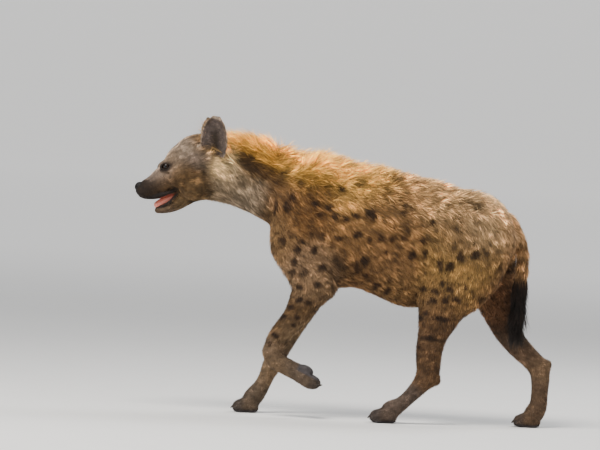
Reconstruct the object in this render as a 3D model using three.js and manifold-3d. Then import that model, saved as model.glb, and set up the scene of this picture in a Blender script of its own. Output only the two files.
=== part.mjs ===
// A spotted hyena, life size, walking with one forepaw lifted and its mouth a little open.
// Millimetres. The head points to -X, the animal's left side is towards -Y, and the floor is Z = 0.
import * as THREE from "three";
import { mergeVertices } from "three/addons/utils/BufferGeometryUtils.js";
import Module from "manifold-3d";

const wasm = await Module();
wasm.setup();

// Driving sizes

const GAP = 0.3; // between neighbouring nodes
const CORE_SHARE = 0.5; // how far the solid core reaches into the long coat
const LEFT = -1;
const RIGHT = 1;

// The trunk from the neck to the rump, without the legs:
// place along the body, height of the coat's tips, underside, half width, depth of the coat.
const TRUNK = [
  [-640, 856, 668, 60, 26],
  [-600, 862, 655, 72, 36],
  [-549, 869, 648, 80, 44],
  [-500, 870, 633, 84, 48],
  [-450, 868, 613, 90, 50],
  [-404, 856, 586, 98, 48],
  [-383, 849, 541, 105, 46],
  [-358, 839, 490, 113, 44],
  [-332, 834, 440, 121, 42],
  [-300, 829, 408, 129, 40],
  [-262, 827, 398, 135, 38],
  [-200, 817, 401, 141, 34],
  [-130, 801, 408, 143, 30],
  [-70, 795, 388, 141, 26],
  [0, 779, 362, 136, 24],
  [50, 768, 356, 130, 22],
  [110, 759, 366, 123, 20],
  [170, 737, 398, 118, 18],
  [240, 713, 440, 110, 16],
  [300, 674, 488, 96, 14],
  [345, 634, 530, 72, 12],
  [366, 604, 562, 38, 10],
];
const NECK_BACK = -400; // plane between the neck and the torso

// The head: a chain of sections down the muzzle, then the masses of bone and muscle about the skull.
const MUZZLE = [
  [-708, 0, 733, 50, 54],
  [-735, 0, 712, 47, 45],
  [-763, 0, 691, 41, 39],
  [-790, 0, 681, 33, 36],
  [-807, 0, 680, 26, 32],
];
const HEAD_TURN = 7; // degrees, towards the animal's left
const HEAD_ROLL = 3; // degrees, the left ear up
const ROLL_HEIGHT = 760; // of the axis of that roll
const TURN_FROM = -440; // the bend of the neck starts here
const TURN_TO = -590; // and ends here
const TURN_CENTRE = -515;

// The ball of the eye, the lids about it, and the almond between them.
const EYE = {
  at: [-740, 37.5, 752], radius: 12.5, lids: [20, 15.2, 15.6],
  halfLength: 11.5, halfHeight: 6.5, slant: -14, forward: 20,
};
// Each ear turns by itself: the way its cup opens, from the middle of the head.
const EAR = {
  root: [-601, 60, 803], height: 118, width: 88, wall: 5,
  opensLeft: [-0.5, -0.86, 0.08], opensRight: [-0.74, 0.67, 0.08],
};

// Small helpers

const radians = THREE.MathUtils.degToRad;
const mix = THREE.MathUtils.lerp;
const point = (x, y, z) => new THREE.Vector3(x, y, z);

// A row of numbers read off a table at a place along its first column, by a smooth curve.
function readTable(table, place) {
  let i = 0;
  while (i < table.length - 2 && place > table[i + 1][0]) i++;
  const before = table[Math.max(i - 1, 0)];
  const start = table[i];
  const end = table[i + 1];
  const after = table[Math.min(i + 2, table.length - 1)];
  const span = end[0] - start[0];
  const t = THREE.MathUtils.clamp((place - start[0]) / span, 0, 1);
  return start.map((value, column) => {
    const slopeIn = ((end[column] - before[column]) / (end[0] - before[0])) * span;
    const slopeOut = ((after[column] - value) / (after[0] - start[0])) * span;
    const t2 = t * t;
    const t3 = t2 * t;
    return (
      (2 * t3 - 3 * t2 + 1) * value +
      (t3 - 2 * t2 + t) * slopeIn +
      (3 * t2 - 2 * t3) * end[column] +
      (t3 - t2) * slopeOut
    );
  });
}

// The same random numbers on every run.
function seeded(seed) {
  let state = seed;
  return () => {
    state = (state * 1664525 + 1013904223) % 4294967296;
    return state / 4294967296;
  };
}

// Forms: each is a function of x, y, z that is negative inside and close to a distance near the skin

function smoothMin(a, b, reach) {
  const h = Math.max(reach - Math.abs(a - b), 0) / reach;
  return Math.min(a, b) - h * h * reach * 0.25;
}

function ellipseDistance(u, v, halfU, halfV) {
  const inside = Math.hypot(u / halfU, v / halfV);
  const slope = Math.hypot(u / (halfU * halfU), v / (halfV * halfV));
  return slope < 1e-9 ? -Math.min(halfU, halfV) : (inside * (inside - 1)) / slope;
}

// An ellipsoid, mirrored to both sides, its long axis pitched up towards +X.
function mass([cx, cy, cz], [rx, ry, rz], pitch = 0) {
  const c = Math.cos(radians(pitch));
  const s = Math.sin(radians(pitch));
  return (x, y, z) => {
    const u = c * (x - cx) + s * (z - cz);
    const w = c * (z - cz) - s * (x - cx);
    const v = Math.abs(y) - cy;
    const inside = Math.hypot(u / rx, v / ry, w / rz);
    const slope = Math.hypot(u / (rx * rx), v / (ry * ry), w / (rz * rz));
    return slope < 1e-9 ? -Math.min(rx, ry, rz) : (inside * (inside - 1)) / slope;
  };
}

// A chain of sections: x, y, z, half depth as seen from the side, half width.
function chain(stations) {
  return (x, y, z) => {
    let nearest = Infinity;
    for (let i = 0; i < stations.length - 1; i++) {
      const a = stations[i];
      const b = stations[i + 1];
      const dx = b[0] - a[0];
      const dz = b[2] - a[2];
      const along = ((x - a[0]) * dx + (z - a[2]) * dz) / (dx * dx + dz * dz);
      const t = THREE.MathUtils.clamp(along, 0, 1);
      const u = Math.hypot(x - mix(a[0], b[0], t), z - mix(a[2], b[2], t));
      const v = Math.abs(y) - mix(a[1], b[1], t);
      nearest = Math.min(nearest, ellipseDistance(u, v, mix(a[3], b[3], t), mix(a[4], b[4], t)));
    }
    return nearest;
  };
}

const EGG = 0.14; // how much narrower the trunk is at the back than low on the ribs

function barrel(x, y, z) {
  const [, tips, under, halfWidth, coat] = readTable(TRUNK, x);
  const top = tips - coat * CORE_SHARE;
  const halfHeight = (top - under) / 2;
  const v = z - (top + under) / 2;
  const width = halfWidth * (1 - EGG * (v / halfHeight));
  const past = Math.max(TRUNK[0][0] - x, x - TRUNK.at(-1)[0], 0);
  return Math.hypot(Math.max(ellipseDistance(y, v, width, halfHeight), 0), past) +
    Math.min(ellipseDistance(y, v, width, halfHeight), 0);
}

const TRUNK_MASSES = [
  mass([-312, 78, 640], [160, 42, 66], 70), // shoulder blade and its muscles
  mass([-346, 40, 530], [46, 52, 66], 0), // breast
  mass([215, 62, 590], [125, 56, 112], -20), // haunch
];

const HEAD_MASSES = [
  mass([-652, 0, 782], [84, 66, 68], 28), // brain case
  mass([-640, 0, 836], [52, 24, 22], 12), // crest along the skull
  mass([-706, 0, 779], [44, 46, 38], 48), // forehead
  mass([-691, 46, 727], [50, 34, 38], 22), // cheekbone
  mass([-652, 44, 706], [54, 38, 52], 10), // jaw muscle
  mass([-650, 0, 690], [60, 52, 42], 15), // throat under the skull
  mass([-688, 0, 672], [48, 36, 38], 28), // root of the lower jaw
  mass([-742, 30, 762], [18, 15, 11], 40), // brow
];
const muzzle = chain(MUZZLE);

function bodyForm(x, y, z) {
  let d = barrel(x, y, z);
  if (x < -540) {
    d = smoothMin(d, muzzle(x, y, z), 24);
    for (const form of HEAD_MASSES) d = smoothMin(d, form(x, y, z), 16);
  } else {
    for (const form of TRUNK_MASSES) d = smoothMin(d, form(x, y, z), 40);
  }
  return d;
}

// Solids

function solidOf(geometry) {
  const bare = geometry.clone();
  bare.deleteAttribute("normal");
  bare.deleteAttribute("uv");
  const merged = mergeVertices(bare, 1e-3);
  return new wasm.Manifold(
    new wasm.Mesh({
      numProp: 3,
      vertProperties: new Float32Array(merged.attributes.position.array),
      triVerts: new Uint32Array(merged.index.array),
    }),
  );
}

// Only the largest closed surface of a solid, which fills what fusing has sealed.
function largest(solid) {
  return solid.decompose().reduce((best, one) => (one.volume() > best.volume() ? one : best));
}

// A closed skin over rings of points, each ring with the same count, with a pole at each end.
function skinRings(rings, startPole, endPole) {
  const sides = rings[0].length;
  const points = [startPole, ...rings.flat(), endPole];
  const last = points.length - 1;
  const index = [];
  for (let k = 0; k < sides; k++) {
    const next = (k + 1) % sides;
    index.push(0, 1 + next, 1 + k);
    for (let i = 0; i < rings.length - 1; i++) {
      const a = 1 + i * sides;
      const b = a + sides;
      index.push(a + k, a + next, b + k, a + next, b + next, b + k);
    }
    index.push(last, last - sides + k, last - sides + next);
  }
  const geometry = new THREE.BufferGeometry().setFromPoints(points);
  geometry.setIndex(index);
  const solid = solidOf(geometry);
  if (solid.volume() > 0) return solid;
  geometry.setIndex(index.reverse());
  return solidOf(geometry);
}

const REACH = 260; // how far a ray looks for the skin
const RAY_STEP = 4;

// Where a ray from a point inside leaves a form for the last time.
function castRay(form, from, direction, reach, grow) {
  const value = (r) =>
    form(from.x + direction.x * r, from.y + direction.y * r, from.z + direction.z * r) - grow;
  let outer = reach;
  while (outer > RAY_STEP && value(outer - RAY_STEP) > 0) outer -= RAY_STEP;
  let inner = Math.max(outer - RAY_STEP, 0);
  for (let i = 0; i < 12; i++) {
    const middle = (inner + outer) / 2;
    if (value(middle) > 0) outer = middle;
    else inner = middle;
  }
  return from.clone().addScaledVector(direction, (inner + outer) / 2);
}

// One ring of the skin in the plane through a place on the spine: x, z, tilt in degrees.
function castRing(form, [x, z, tilt], sides, reach = REACH, grow = 0) {
  const up = point(Math.sin(radians(tilt)) * -1, 0, Math.cos(radians(tilt)));
  const ring = [];
  for (let k = 0; k < sides; k++) {
    const angle = (k / sides) * 2 * Math.PI;
    const direction = up.clone().multiplyScalar(Math.cos(angle));
    direction.y = Math.sin(angle);
    ring.push(castRay(form, point(x, 0, z), direction, reach, grow));
  }
  return ring;
}

// A length of the body between two planes of its spine.
function castLength(form, spine, sides, reach, grow = 0) {
  const rings = spine.map((station) => castRing(form, station, sides, reach, grow));
  const first = spine[0];
  const last = spine.at(-1);
  return skinRings(rings, point(first[0], 0, first[1]), point(last[0], 0, last[1]));
}

// A limb through its stations, with domed ends.
function limb(stations, sides, steps, grow = 0) {
  const rings = [];
  const curve = new THREE.CatmullRomCurve3(stations.map(([x, y, z]) => point(x, y, z)));
  const last = stations.length - 1;
  const places = [];
  for (let i = 0; i <= last * steps; i++) places.push(i / steps);
  const table = stations.map((station, i) => [i, station[3], station[4]]);
  const ringAt = (place, shrink, push) => {
    const t = place / last;
    const centre = curve.getPoint(t);
    const tangent = curve.getTangent(t);
    const [, halfDepth, halfWidth] = readTable(table, place);
    const across = point(tangent.z, 0, -tangent.x).normalize();
    centre.addScaledVector(tangent, push * (Math.min(halfDepth, halfWidth) + grow));
    const ring = [];
    for (let k = 0; k < sides; k++) {
      const angle = (k / sides) * 2 * Math.PI;
      ring.push(
        centre
          .clone()
          .addScaledVector(across, Math.cos(angle) * (halfDepth + grow) * shrink)
          .add(point(0, Math.sin(angle) * (halfWidth + grow) * shrink, 0)),
      );
    }
    return { ring, centre };
  };
  rings.push(ringAt(0, 0.72, -0.45).ring);
  for (const place of places) rings.push(ringAt(place, 1, 0).ring);
  rings.push(ringAt(last, 0.72, 0.45).ring);
  return skinRings(rings, ringAt(0, 0, -0.62).centre, ringAt(last, 0, 0.62).centre);
}

// A small ellipsoid, pitched in the side view.
function knob([x, y, z], [rx, ry, rz], pitch = 0, grow = 0, sides = 8) {
  const geometry = new THREE.SphereGeometry(1, sides, Math.round(sides * 0.7));
  geometry.scale(rx + grow, ry + grow, rz + grow);
  geometry.rotateY(radians(-pitch));
  geometry.translate(x, y, z);
  return solidOf(geometry);
}

const joined = (solids) => solids.reduce((all, one) => all.add(one));

// A thin solid made thicker all round, from copies of it moved a little each way.
function thickened(solid, by) {
  const moves = [[by, 0, 0], [-by, 0, 0], [0, by, 0], [0, -by, 0], [0, 0, by], [0, 0, -by]];
  return joined([solid, ...moves.map((move) => solid.translate(move))]);
}

// A box that fills one side of a plane across the body at x, tilted like a ring of the spine.
function halfSpace([x, z, tilt], side) {
  const size = 2000;
  const geometry = new THREE.BoxGeometry(size, size, size);
  geometry.translate((side * size) / 2, 0, 0);
  geometry.rotateY(radians(-tilt));
  geometry.translate(x, 0, z);
  return solidOf(geometry);
}


// Legs: stations down each limb: x, y, z, half depth seen from the side, half width.

const LEFT_FORELEG = {
  upper_arm: [
    [-338, -80, 566, 58, 38],
    [-312, -90, 505, 70, 44],
    [-276, -97, 450, 72, 47],
    [-256, -101, 410, 62, 44],
  ],
  forearm: [
    [-256, -102, 412, 58, 42],
    [-281, -101, 374, 51, 37],
    [-304, -98, 322, 43, 32],
    [-325, -95, 293, 39, 29],
    [-351, -91, 260, 36, 27],
    [-369, -88, 228, 33, 27],
    [-377, -86, 203, 30, 29],
  ],
  forepaw: [
    [-378, -86, 198, 28, 29],
    [-366, -85, 176, 30, 30],
    [-340, -84, 162, 28, 30],
    [-312, -83, 149, 28, 32],
    [-285, -82, 137, 28, 37],
    [-264, -82, 128, 28, 40],
  ],
};
const RIGHT_FORELEG = {
  upper_arm: [
    [-338, 80, 566, 58, 38],
    [-308, 88, 505, 66, 44],
    [-270, 94, 450, 66, 46],
    [-244, 97, 412, 55, 42],
  ],
  forearm: [
    [-244, 97, 414, 50, 40],
    [-262, 95, 370, 44, 34],
    [-284, 92, 322, 36, 29],
    [-306, 89, 282, 33, 27],
    [-324, 86, 248, 31, 26],
    [-345, 83, 206, 29, 26],
    [-364, 80, 172, 29, 27],
    [-377, 78, 146, 29, 28],
  ],
  forepaw: [
    [-376, 78, 152, 27, 28],
    [-388, 77, 120, 25, 27],
    [-399, 76, 94, 25, 28],
    [-411, 75, 72, 28, 32],
    [-427, 75, 50, 31, 37],
    [-446, 75, 35, 28, 40],
  ],
};
const LEFT_HINDLEG = {
  thigh: [
    [232, -50, 616, 112, 38],
    [222, -63, 560, 124, 48],
    [205, -76, 500, 126, 54],
    [176, -86, 440, 106, 53],
    [146, -92, 390, 84, 47],
    [134, -95, 345, 67, 41],
  ],
  shank: [
    [134, -95, 352, 65, 41],
    [124, -95, 310, 55, 36],
    [115, -94, 276, 48, 32],
    [109, -92, 240, 45, 29],
    [107, -90, 206, 42, 28],
    [109, -88, 172, 39, 27],
    [108, -87, 146, 34, 27],
  ],
  hind_paw: [
    [100, -87, 144, 32, 26],
    [88, -86, 124, 29, 26],
    [69, -86, 101, 25, 26],
    [43, -85, 73, 23, 28],
    [24, -85, 57, 25, 32],
    [3, -85, 43, 30, 38],
    [-18, -85, 34, 28, 40],
  ],
};
const RIGHT_HINDLEG = {
  thigh: [
    [240, 50, 616, 110, 38],
    [250, 63, 560, 114, 48],
    [266, 75, 505, 106, 52],
    [284, 84, 450, 88, 50],
    [306, 88, 400, 68, 45],
    [328, 89, 356, 57, 40],
  ],
  shank: [
    [324, 89, 362, 55, 40],
    [346, 88, 308, 48, 35],
    [368, 86, 272, 41, 31],
    [394, 84, 243, 37, 28],
    [420, 81, 220, 35, 26],
    [442, 79, 200, 34, 26],
    [456, 78, 184, 32, 27],
  ],
  hind_paw: [
    [460, 78, 186, 31, 27],
    [462, 77, 146, 30, 27],
    [462, 76, 117, 28, 26],
    [461, 75, 86, 28, 27],
    [458, 75, 62, 30, 31],
    [448, 75, 44, 32, 36],
    [433, 75, 33, 28, 39],
  ],
};

// Bony points and the main pad of each paw, which stand out of a limb: node, place, radii, pitch.
const POINTS_OF_BONE = {
  left_forearm: [[[-212, -102, 402], [24, 18, 27], 30]],
  right_forearm: [[[-202, 97, 406], [22, 18, 26], 20]],
  left_shank: [[[134, -88, 142], [17, 15, 22], 20]],
  right_shank: [[[481, 78, 198], [18, 15, 16], 30]],
  left_forepaw: [[[-268, -82, 150], [24, 27, 14], -25]],
  right_forepaw: [[[-436, 75, 12], [25, 28, 16], 0]],
  left_hind_paw: [[[-8, -85, 12], [25, 28, 16], 0]],
  right_hind_paw: [[[442, 75, 12], [25, 28, 16], 0]],
};

// Where the toes start, and which way they point in the side view, in degrees.
const TOES = {
  left_forepaw: { from: [-264, -82, 125], heading: -24 },
  right_forepaw: { from: [-446, 75, 15.5], heading: 182 },
  left_hind_paw: { from: [-20, -85, 15.5], heading: 180 },
  right_hind_paw: { from: [430, 75, 15.5], heading: 182 },
};
const TOE_OFFSETS = [-31, -11, 11, 31];
const TOE_LENGTHS = [24, 34, 34, 24];
const TOE_HALF_HEIGHT = 20;
const TOE_HALF_WIDTH = 11.8;
const KNUCKLE = 6; // how far the middle of a toe is raised
const CLAW = { length: 15, radius: 6, droop: 25 };

function toeSolids({ from, heading }, grow) {
  const forward = point(Math.cos(radians(heading)), 0, Math.sin(radians(heading)));
  const droop = forward.x < 0 ? CLAW.droop : -CLAW.droop;
  return TOE_OFFSETS.flatMap((offset, i) => {
    const at = (along, spread, drop) =>
      point(...from)
        .addScaledVector(forward, along)
        .add(point(0, offset * spread, -drop));
    const station = (along, spread, drop, share) => [
      ...at(along, spread, drop).toArray(),
      TOE_HALF_HEIGHT * share,
      TOE_HALF_WIDTH * share,
    ];
    const length = TOE_LENGTHS[i];
    const toe = limb(
      [
        station(-12, 0.9, -KNUCKLE, 0.95),
        station(length * 0.4, 1, -KNUCKLE, 1),
        station(length, 1.04, 0, 0.8),
      ],
      6, 1, grow,
    );
    const claw = new THREE.ConeGeometry(CLAW.radius + grow, CLAW.length, 4);
    claw.rotateZ(Math.PI / 2);
    claw.rotateY(radians(180 - heading - droop));
    const place = at(length + TOE_HALF_HEIGHT * 0.5 + CLAW.length * 0.2, 1.04, 0);
    claw.translate(...place.toArray());
    return [toe, solidOf(claw)];
  });
}

const FLOOR = halfSpaceBelow(0);

function halfSpaceBelow(height) {
  const size = 3000;
  const geometry = new THREE.BoxGeometry(size, size, size);
  geometry.translate(0, 0, height - size / 2);
  return solidOf(geometry);
}

function limbNode(name, stations, grow) {
  const sides = name.includes("thigh") || name.includes("upper_arm") ? 16 : 11;
  const pieces = [limb(stations, sides, 1, grow)];
  for (const [place, radii, pitch] of POINTS_OF_BONE[name] ?? []) {
    pieces.push(knob(place, radii, pitch, grow));
  }
  if (TOES[name]) pieces.push(...toeSolids(TOES[name], grow));
  return joined(pieces).subtract(FLOOR);
}

// Trunk, neck and head lengths

const TORSO_SPINE = [
  [-399.85, 722, 0], [-384, 700, 0], [-364, 676, 0], [-342, 650, 0], [-316, 630, 0],
  [-275, 612, 0], [-225, 603, 0], [-165, 600, 0], [-105, 592, 0], [-45, 580, 0],
  [15, 571, 0], [70, 566, 0], [120, 567, 0], [170, 572, 0], [215, 578, 0],
  [255, 582, 0], [292, 582, 0], [325, 582, 0], [350, 582, 0], [364, 582, 0],
];
const NECK_SPINE = [
  [-400.15, 722, 0], [-430, 735, -1], [-462, 742, -3], [-495, 747, -5],
  [-528, 750, -7], [-560, 751, -10], [-589.85, 752, -12],
];
const HEAD_SPINE = [
  [-590.15, 752, -12], [-606, 752, -9], [-622, 752, -6], [-638, 752, -3], [-654, 750, 0],
  [-669, 748, 4], [-683, 745, 8], [-696, 740, 13], [-708, 735, 17], [-720, 729, 20],
  [-732, 722, 23], [-744, 715, 25], [-757, 707, 27], [-771, 699, 29], [-785, 692, 30],
  [-799, 686, 30], [-811, 683, 30], [-820, 682, 30],
];
const HEAD_REACH = 130;

const TORSO_SIDES = 22;
const NECK_SIDES = 22;
const HEAD_SIDES = 24;

function torsoCore(grow) {
  return castLength(bodyForm, TORSO_SPINE, TORSO_SIDES, REACH, grow);
}

// The line of the lips from the corner of the mouth to the front, and the cut below it.
const MOUTH_CORNER = [-704, 679];
const LIP_LINE = [MOUTH_CORNER, [-734, 663], [-764, 650], [-790, 647], [-850, 668]];
const JAW_CUT = [[-850, 520], [-662, 520], [-674, 628]];

function prismAcross(outline, halfWidth) {
  const shape = new THREE.Shape(outline.map(([x, z]) => new THREE.Vector2(x, z)));
  const geometry = new THREE.ExtrudeGeometry(shape, { depth: 2 * halfWidth, bevelEnabled: false });
  geometry.rotateX(Math.PI / 2);
  geometry.translate(0, halfWidth, 0);
  return solidOf(geometry);
}

// The rolls of the two lips on one side: place, half width of the mouth, height, radius twice.
const UPPER_LIP = [
  [-700, 36, 685, 5, 5], [-732, 34, 671, 6, 5], [-762, 30, 660, 7, 5],
  [-790, 22, 657, 7, 6], [-808, 9, 661, 7, 6],
];
const LOWER_LIP = [
  [-700, 31, 670, 5, 5], [-722, 25, 645, 5, 5], [-742, 19, 632, 5, 5], [-757, 6, 625, 5, 5],
];

// Both lips of one mouth half are the same chain, mirrored.
function lipRolls(stations, grow) {
  return [LEFT, RIGHT].map((side) =>
    limb(stations.map(([x, y, z, ...radii]) => [x, y * side, z, ...radii]), 6, 1, grow),
  );
}

function headSolid(grow) {
  const back = HEAD_SPINE[0].with(0, HEAD_SPINE[0][0] + grow);
  let solid = castLength(bodyForm, HEAD_SPINE.with(0, back), HEAD_SIDES, HEAD_REACH, grow);
  const mouth = [...LIP_LINE, ...JAW_CUT].map(([x, z]) => [x - 1.5 * grow, z - 1.5 * grow]);
  solid = solid.subtract(prismAcross(mouth, HEAD_REACH));
  for (const side of [LEFT, RIGHT]) {
    const [x, y, z] = EYE.at;
    solid = solid.add(knob([x, y * side, z], EYE.lids, EYE.slant, grow, 14));
  }
  solid = solid.add(joined(lipRolls(UPPER_LIP, grow)));
  if (grow > 0) return solid;
  for (const side of [LEFT, RIGHT]) {
    const [x, y, z] = EYE.at;
    solid = solid.subtract(knob([x, y * side, z], [EYE.radius, EYE.radius, EYE.radius], 0, GAP, 10));
    solid = solid.subtract(lidOpening(side));
  }
  return solid;
}

// The almond between the lids, cut outwards from the middle of the eye.
function lidOpening(side) {
  const { halfLength, halfHeight } = EYE;
  const shape = new THREE.Shape();
  shape.moveTo(-halfLength, 0);
  shape.quadraticCurveTo(0, 2 * halfHeight, halfLength, 0);
  shape.quadraticCurveTo(0, -2 * halfHeight, -halfLength, 0);
  const depth = 2 * EYE.radius; // well past the lids
  const geometry = new THREE.ExtrudeGeometry(shape, { depth, bevelEnabled: false, curveSegments: 4 });
  geometry.rotateZ(radians(EYE.slant));
  geometry.rotateX(radians(-90 * side));
  geometry.rotateZ(radians(EYE.forward * side));
  const [x, y, z] = EYE.at;
  geometry.translate(x, y * side, z);
  return solidOf(geometry);
}

const JAW = [
  [-684, 0, 656, 30, 34],
  [-702, 0, 641, 25, 31],
  [-722, 0, 627, 18, 27],
  [-742, 0, 618, 12, 23],
  [-754, 0, 615, 9, 19],
];
const TONGUE = [
  [-698, 0, 661, 12, 17],
  [-720, 0, 650, 10, 16],
  [-742, 0, 638, 9, 15],
  [-758, 0, 632, 8, 12],
];

// An ear: a sheet curved into a cup, thick at its root.
function earSolid(side) {
  const [rootX, rootY, rootZ] = EAR.root;
  const axis = point(0.02, 0.34 * side, 1).normalize();
  const open = point(...(side === LEFT ? EAR.opensLeft : EAR.opensRight)).normalize();
  const across = new THREE.Vector3().crossVectors(open, axis).multiplyScalar(side).normalize();
  const rows = 6;
  const columns = 6;
  const widths = [0.8, 0.97, 1, 0.98, 0.88, 0.66, 0.26];
  const inner = [];
  const outer = [];
  for (let i = 0; i <= rows; i++) {
    const s = i / rows;
    const half = (EAR.width / 2) * widths[i];
    const depth = mix(30, 9, s) * Math.min(1, widths[i] + 0.2);
    for (let j = 0; j <= columns; j++) {
      const t = (j / columns) * 2 - 1;
      const place = point(rootX, rootY * side, rootZ)
        .addScaledVector(axis, EAR.height * s)
        .addScaledVector(across, half * t)
        .addScaledVector(open, -depth * (1 - t * t));
      const wall = mix(EAR.wall + 3 * (1 - s), 2.2, t * t);
      inner.push(place);
      outer.push(place.clone().addScaledVector(open, -wall));
    }
  }
  const count = columns + 1;
  const offset = inner.length;
  const index = [];
  const quad = (a, b, c, d) => index.push(a, b, c, a, c, d);
  for (let i = 0; i < rows; i++) {
    for (let j = 0; j < columns; j++) {
      const a = i * count + j;
      quad(a, a + 1, a + 1 + count, a + count);
      quad(offset + a, offset + a + count, offset + a + 1 + count, offset + a + 1);
    }
    for (const [j, flip] of [[0, false], [columns, true]]) {
      const a = i * count + j;
      const b = a + count;
      if (flip) quad(a, offset + a, offset + b, b);
      else quad(a, b, offset + b, offset + a);
    }
  }
  for (const [i, flip] of [[0, false], [rows, true]]) {
    for (let j = 0; j < columns; j++) {
      const a = i * count + j;
      if (flip) quad(a, a + 1, offset + a + 1, offset + a);
      else quad(a, offset + a, offset + a + 1, a + 1);
    }
  }
  const geometry = new THREE.BufferGeometry().setFromPoints([...inner, ...outer]);
  geometry.setIndex(index);
  const solid = solidOf(geometry);
  if (solid.volume() > 0) return solid;
  geometry.setIndex(index.reverse());
  return solidOf(geometry);
}

// The nose pad with its two nostrils.
function noseSolid(grow) {
  const pad = knob([-816, 0, 688], [14, 17, 15], -30, grow, 12);
  if (grow > 0) return pad;
  const nostrils = [LEFT, RIGHT].map((side) => knob([-829, 8 * side, 689], [9, 4, 3.5], -20, 0, 6));
  return pad.subtract(joined(nostrils));
}

// Locks

const LOCK_PLACES = [0, 0.38, 0.78];

function lockSolid({ root, normal, lie, length, width, thick, rise, sink, roll = 0 }) {
  const side = new THREE.Vector3().crossVectors(normal, lie).normalize();
  const centreAt = (s) =>
    root
      .clone()
      .addScaledVector(lie, length * s)
      .addScaledVector(normal, -sink + (rise + sink) * Math.sin((s * Math.PI) / 2));
  const rings = LOCK_PLACES.map((s) => {
    const halfWidth = (width / 2) * (1 - s) ** 0.6 * (0.8 + 0.8 * s);
    const halfThick = (thick / 2) * (1 - s) ** 0.5;
    const ahead = centreAt(s + 0.02).sub(centreAt(s - 0.02)).normalize();
    const flat = side.clone().applyAxisAngle(ahead, radians(roll));
    const up = new THREE.Vector3().crossVectors(ahead, flat).normalize();
    const centre = centreAt(s);
    return [
      centre.clone().addScaledVector(flat, halfWidth).addScaledVector(up, -halfThick),
      centre.clone().addScaledVector(up, halfThick),
      centre.clone().addScaledVector(flat, -halfWidth).addScaledVector(up, -halfThick),
    ];
  });
  return skinRings(rings, centreAt(0), centreAt(1));
}

function slopeOf(form, at) {
  const e = 1;
  return point(
    form(at.x + e, at.y, at.z) - form(at.x - e, at.y, at.z),
    form(at.x, at.y + e, at.z) - form(at.x, at.y - e, at.z),
    form(at.x, at.y, at.z + e) - form(at.x, at.y, at.z - e),
  ).normalize();
}

// Rows of locks over the back of the trunk: each row an angle from the top, on both sides.
function coatLocks({ from, to, step, rows, lean, front, length, width, thick, lift, seed }) {
  const random = seeded(seed);
  const locks = [];
  rows.forEach(([angle, share, roll], row) => {
    for (const side of angle === 0 ? [1] : [LEFT, RIGHT]) {
      for (let x = from + (row % 2) * step * 0.5; x <= to; x += step) {
        const place = x + (random() - 0.5) * step * 0.3;
        const turn = radians(angle + (random() - 0.5) * 6) * side;
        const [, tips, under, , coat] = readTable(TRUNK, place);
        const centre = point(place, 0, mix(under, tips, 0.6));
        const direction = point(0, Math.sin(turn), Math.cos(turn));
        const root = castRay(bodyForm, centre, direction, REACH, 0);
        const normal = slopeOf(bodyForm, root);
        const lie = point(...lean);
        lie.addScaledVector(normal, -lie.dot(normal)).normalize();
        const size = 0.85 + 0.3 * random();
        locks.push(
          lockSolid({
            root, normal, lie,
            length: Math.min(length * size, Math.max(place - front, 36)),
            width: width * size,
            thick,
            rise: coat * (1 - CORE_SHARE) * share * lift,
            sink: 13,
            roll: roll * side,
          }),
        );
      }
    }
  });
  return locks;
}

// The mane leans forwards and up the neck, and stops behind the ears.
const MANE = {
  from: -542, to: -406, step: 38, rows: [[0, 1, 80], [23, 1, 40], [47, 1, 16]],
  lean: [-1, 0, 0.45], front: -582, length: 92, width: 42, thick: 10, lift: 1, seed: 11,
};
// Where the mane meets the coat of the back, short locks of each stand up and cross.
const MEETING_AHEAD = {
  from: -474, to: -424, step: 25, rows: [[0, 1, 80], [24, 1, 30]],
  lean: [1, 0, 0], front: -1000, length: 74, width: 44, thick: 12, lift: 0.95, seed: 5,
};
const MEETING_BEHIND = {
  from: -372, to: -352, step: 20, rows: [[0, 1, 80], [22, 1, 40]],
  lean: [-1, 0, 0], front: -1000, length: 84, width: 44, thick: 10, lift: 0.9, seed: 7,
};
// Behind it the coat lies backwards and down.
const WITHERS = {
  from: -380, to: -290, step: 50, rows: [[0, 1, 60], [22, 1, 15], [44, 1, 5]],
  lean: [1, 0, -0.3], front: -1000, length: 92, width: 50, thick: 10, lift: 0.85, seed: 23,
};
const BACK = {
  from: -250, to: 300, step: 84, rows: [[0, 1, 35], [24, 1, 12], [49, 1, 5]],
  lean: [1, 0, -0.35], front: -1000, length: 112, width: 62, thick: 11, lift: 0.8, seed: 37,
};

// Tail

const TAIL = [
  [330, 0, 642, 26, 24],
  [352, 0, 612, 24, 22],
  [372, 0, 572, 22, 20],
  [383, 0, 532, 20, 18],
  [384, 0, 492, 19, 17],
];
const BRUSH = [
  [384, 0, 500, 19, 17],
  [379, 0, 440, 17, 15],
  [377, 0, 390, 15, 13],
  [378, 0, 340, 12, 11],
  [377, 0, 300, 9, 8],
];

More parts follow.
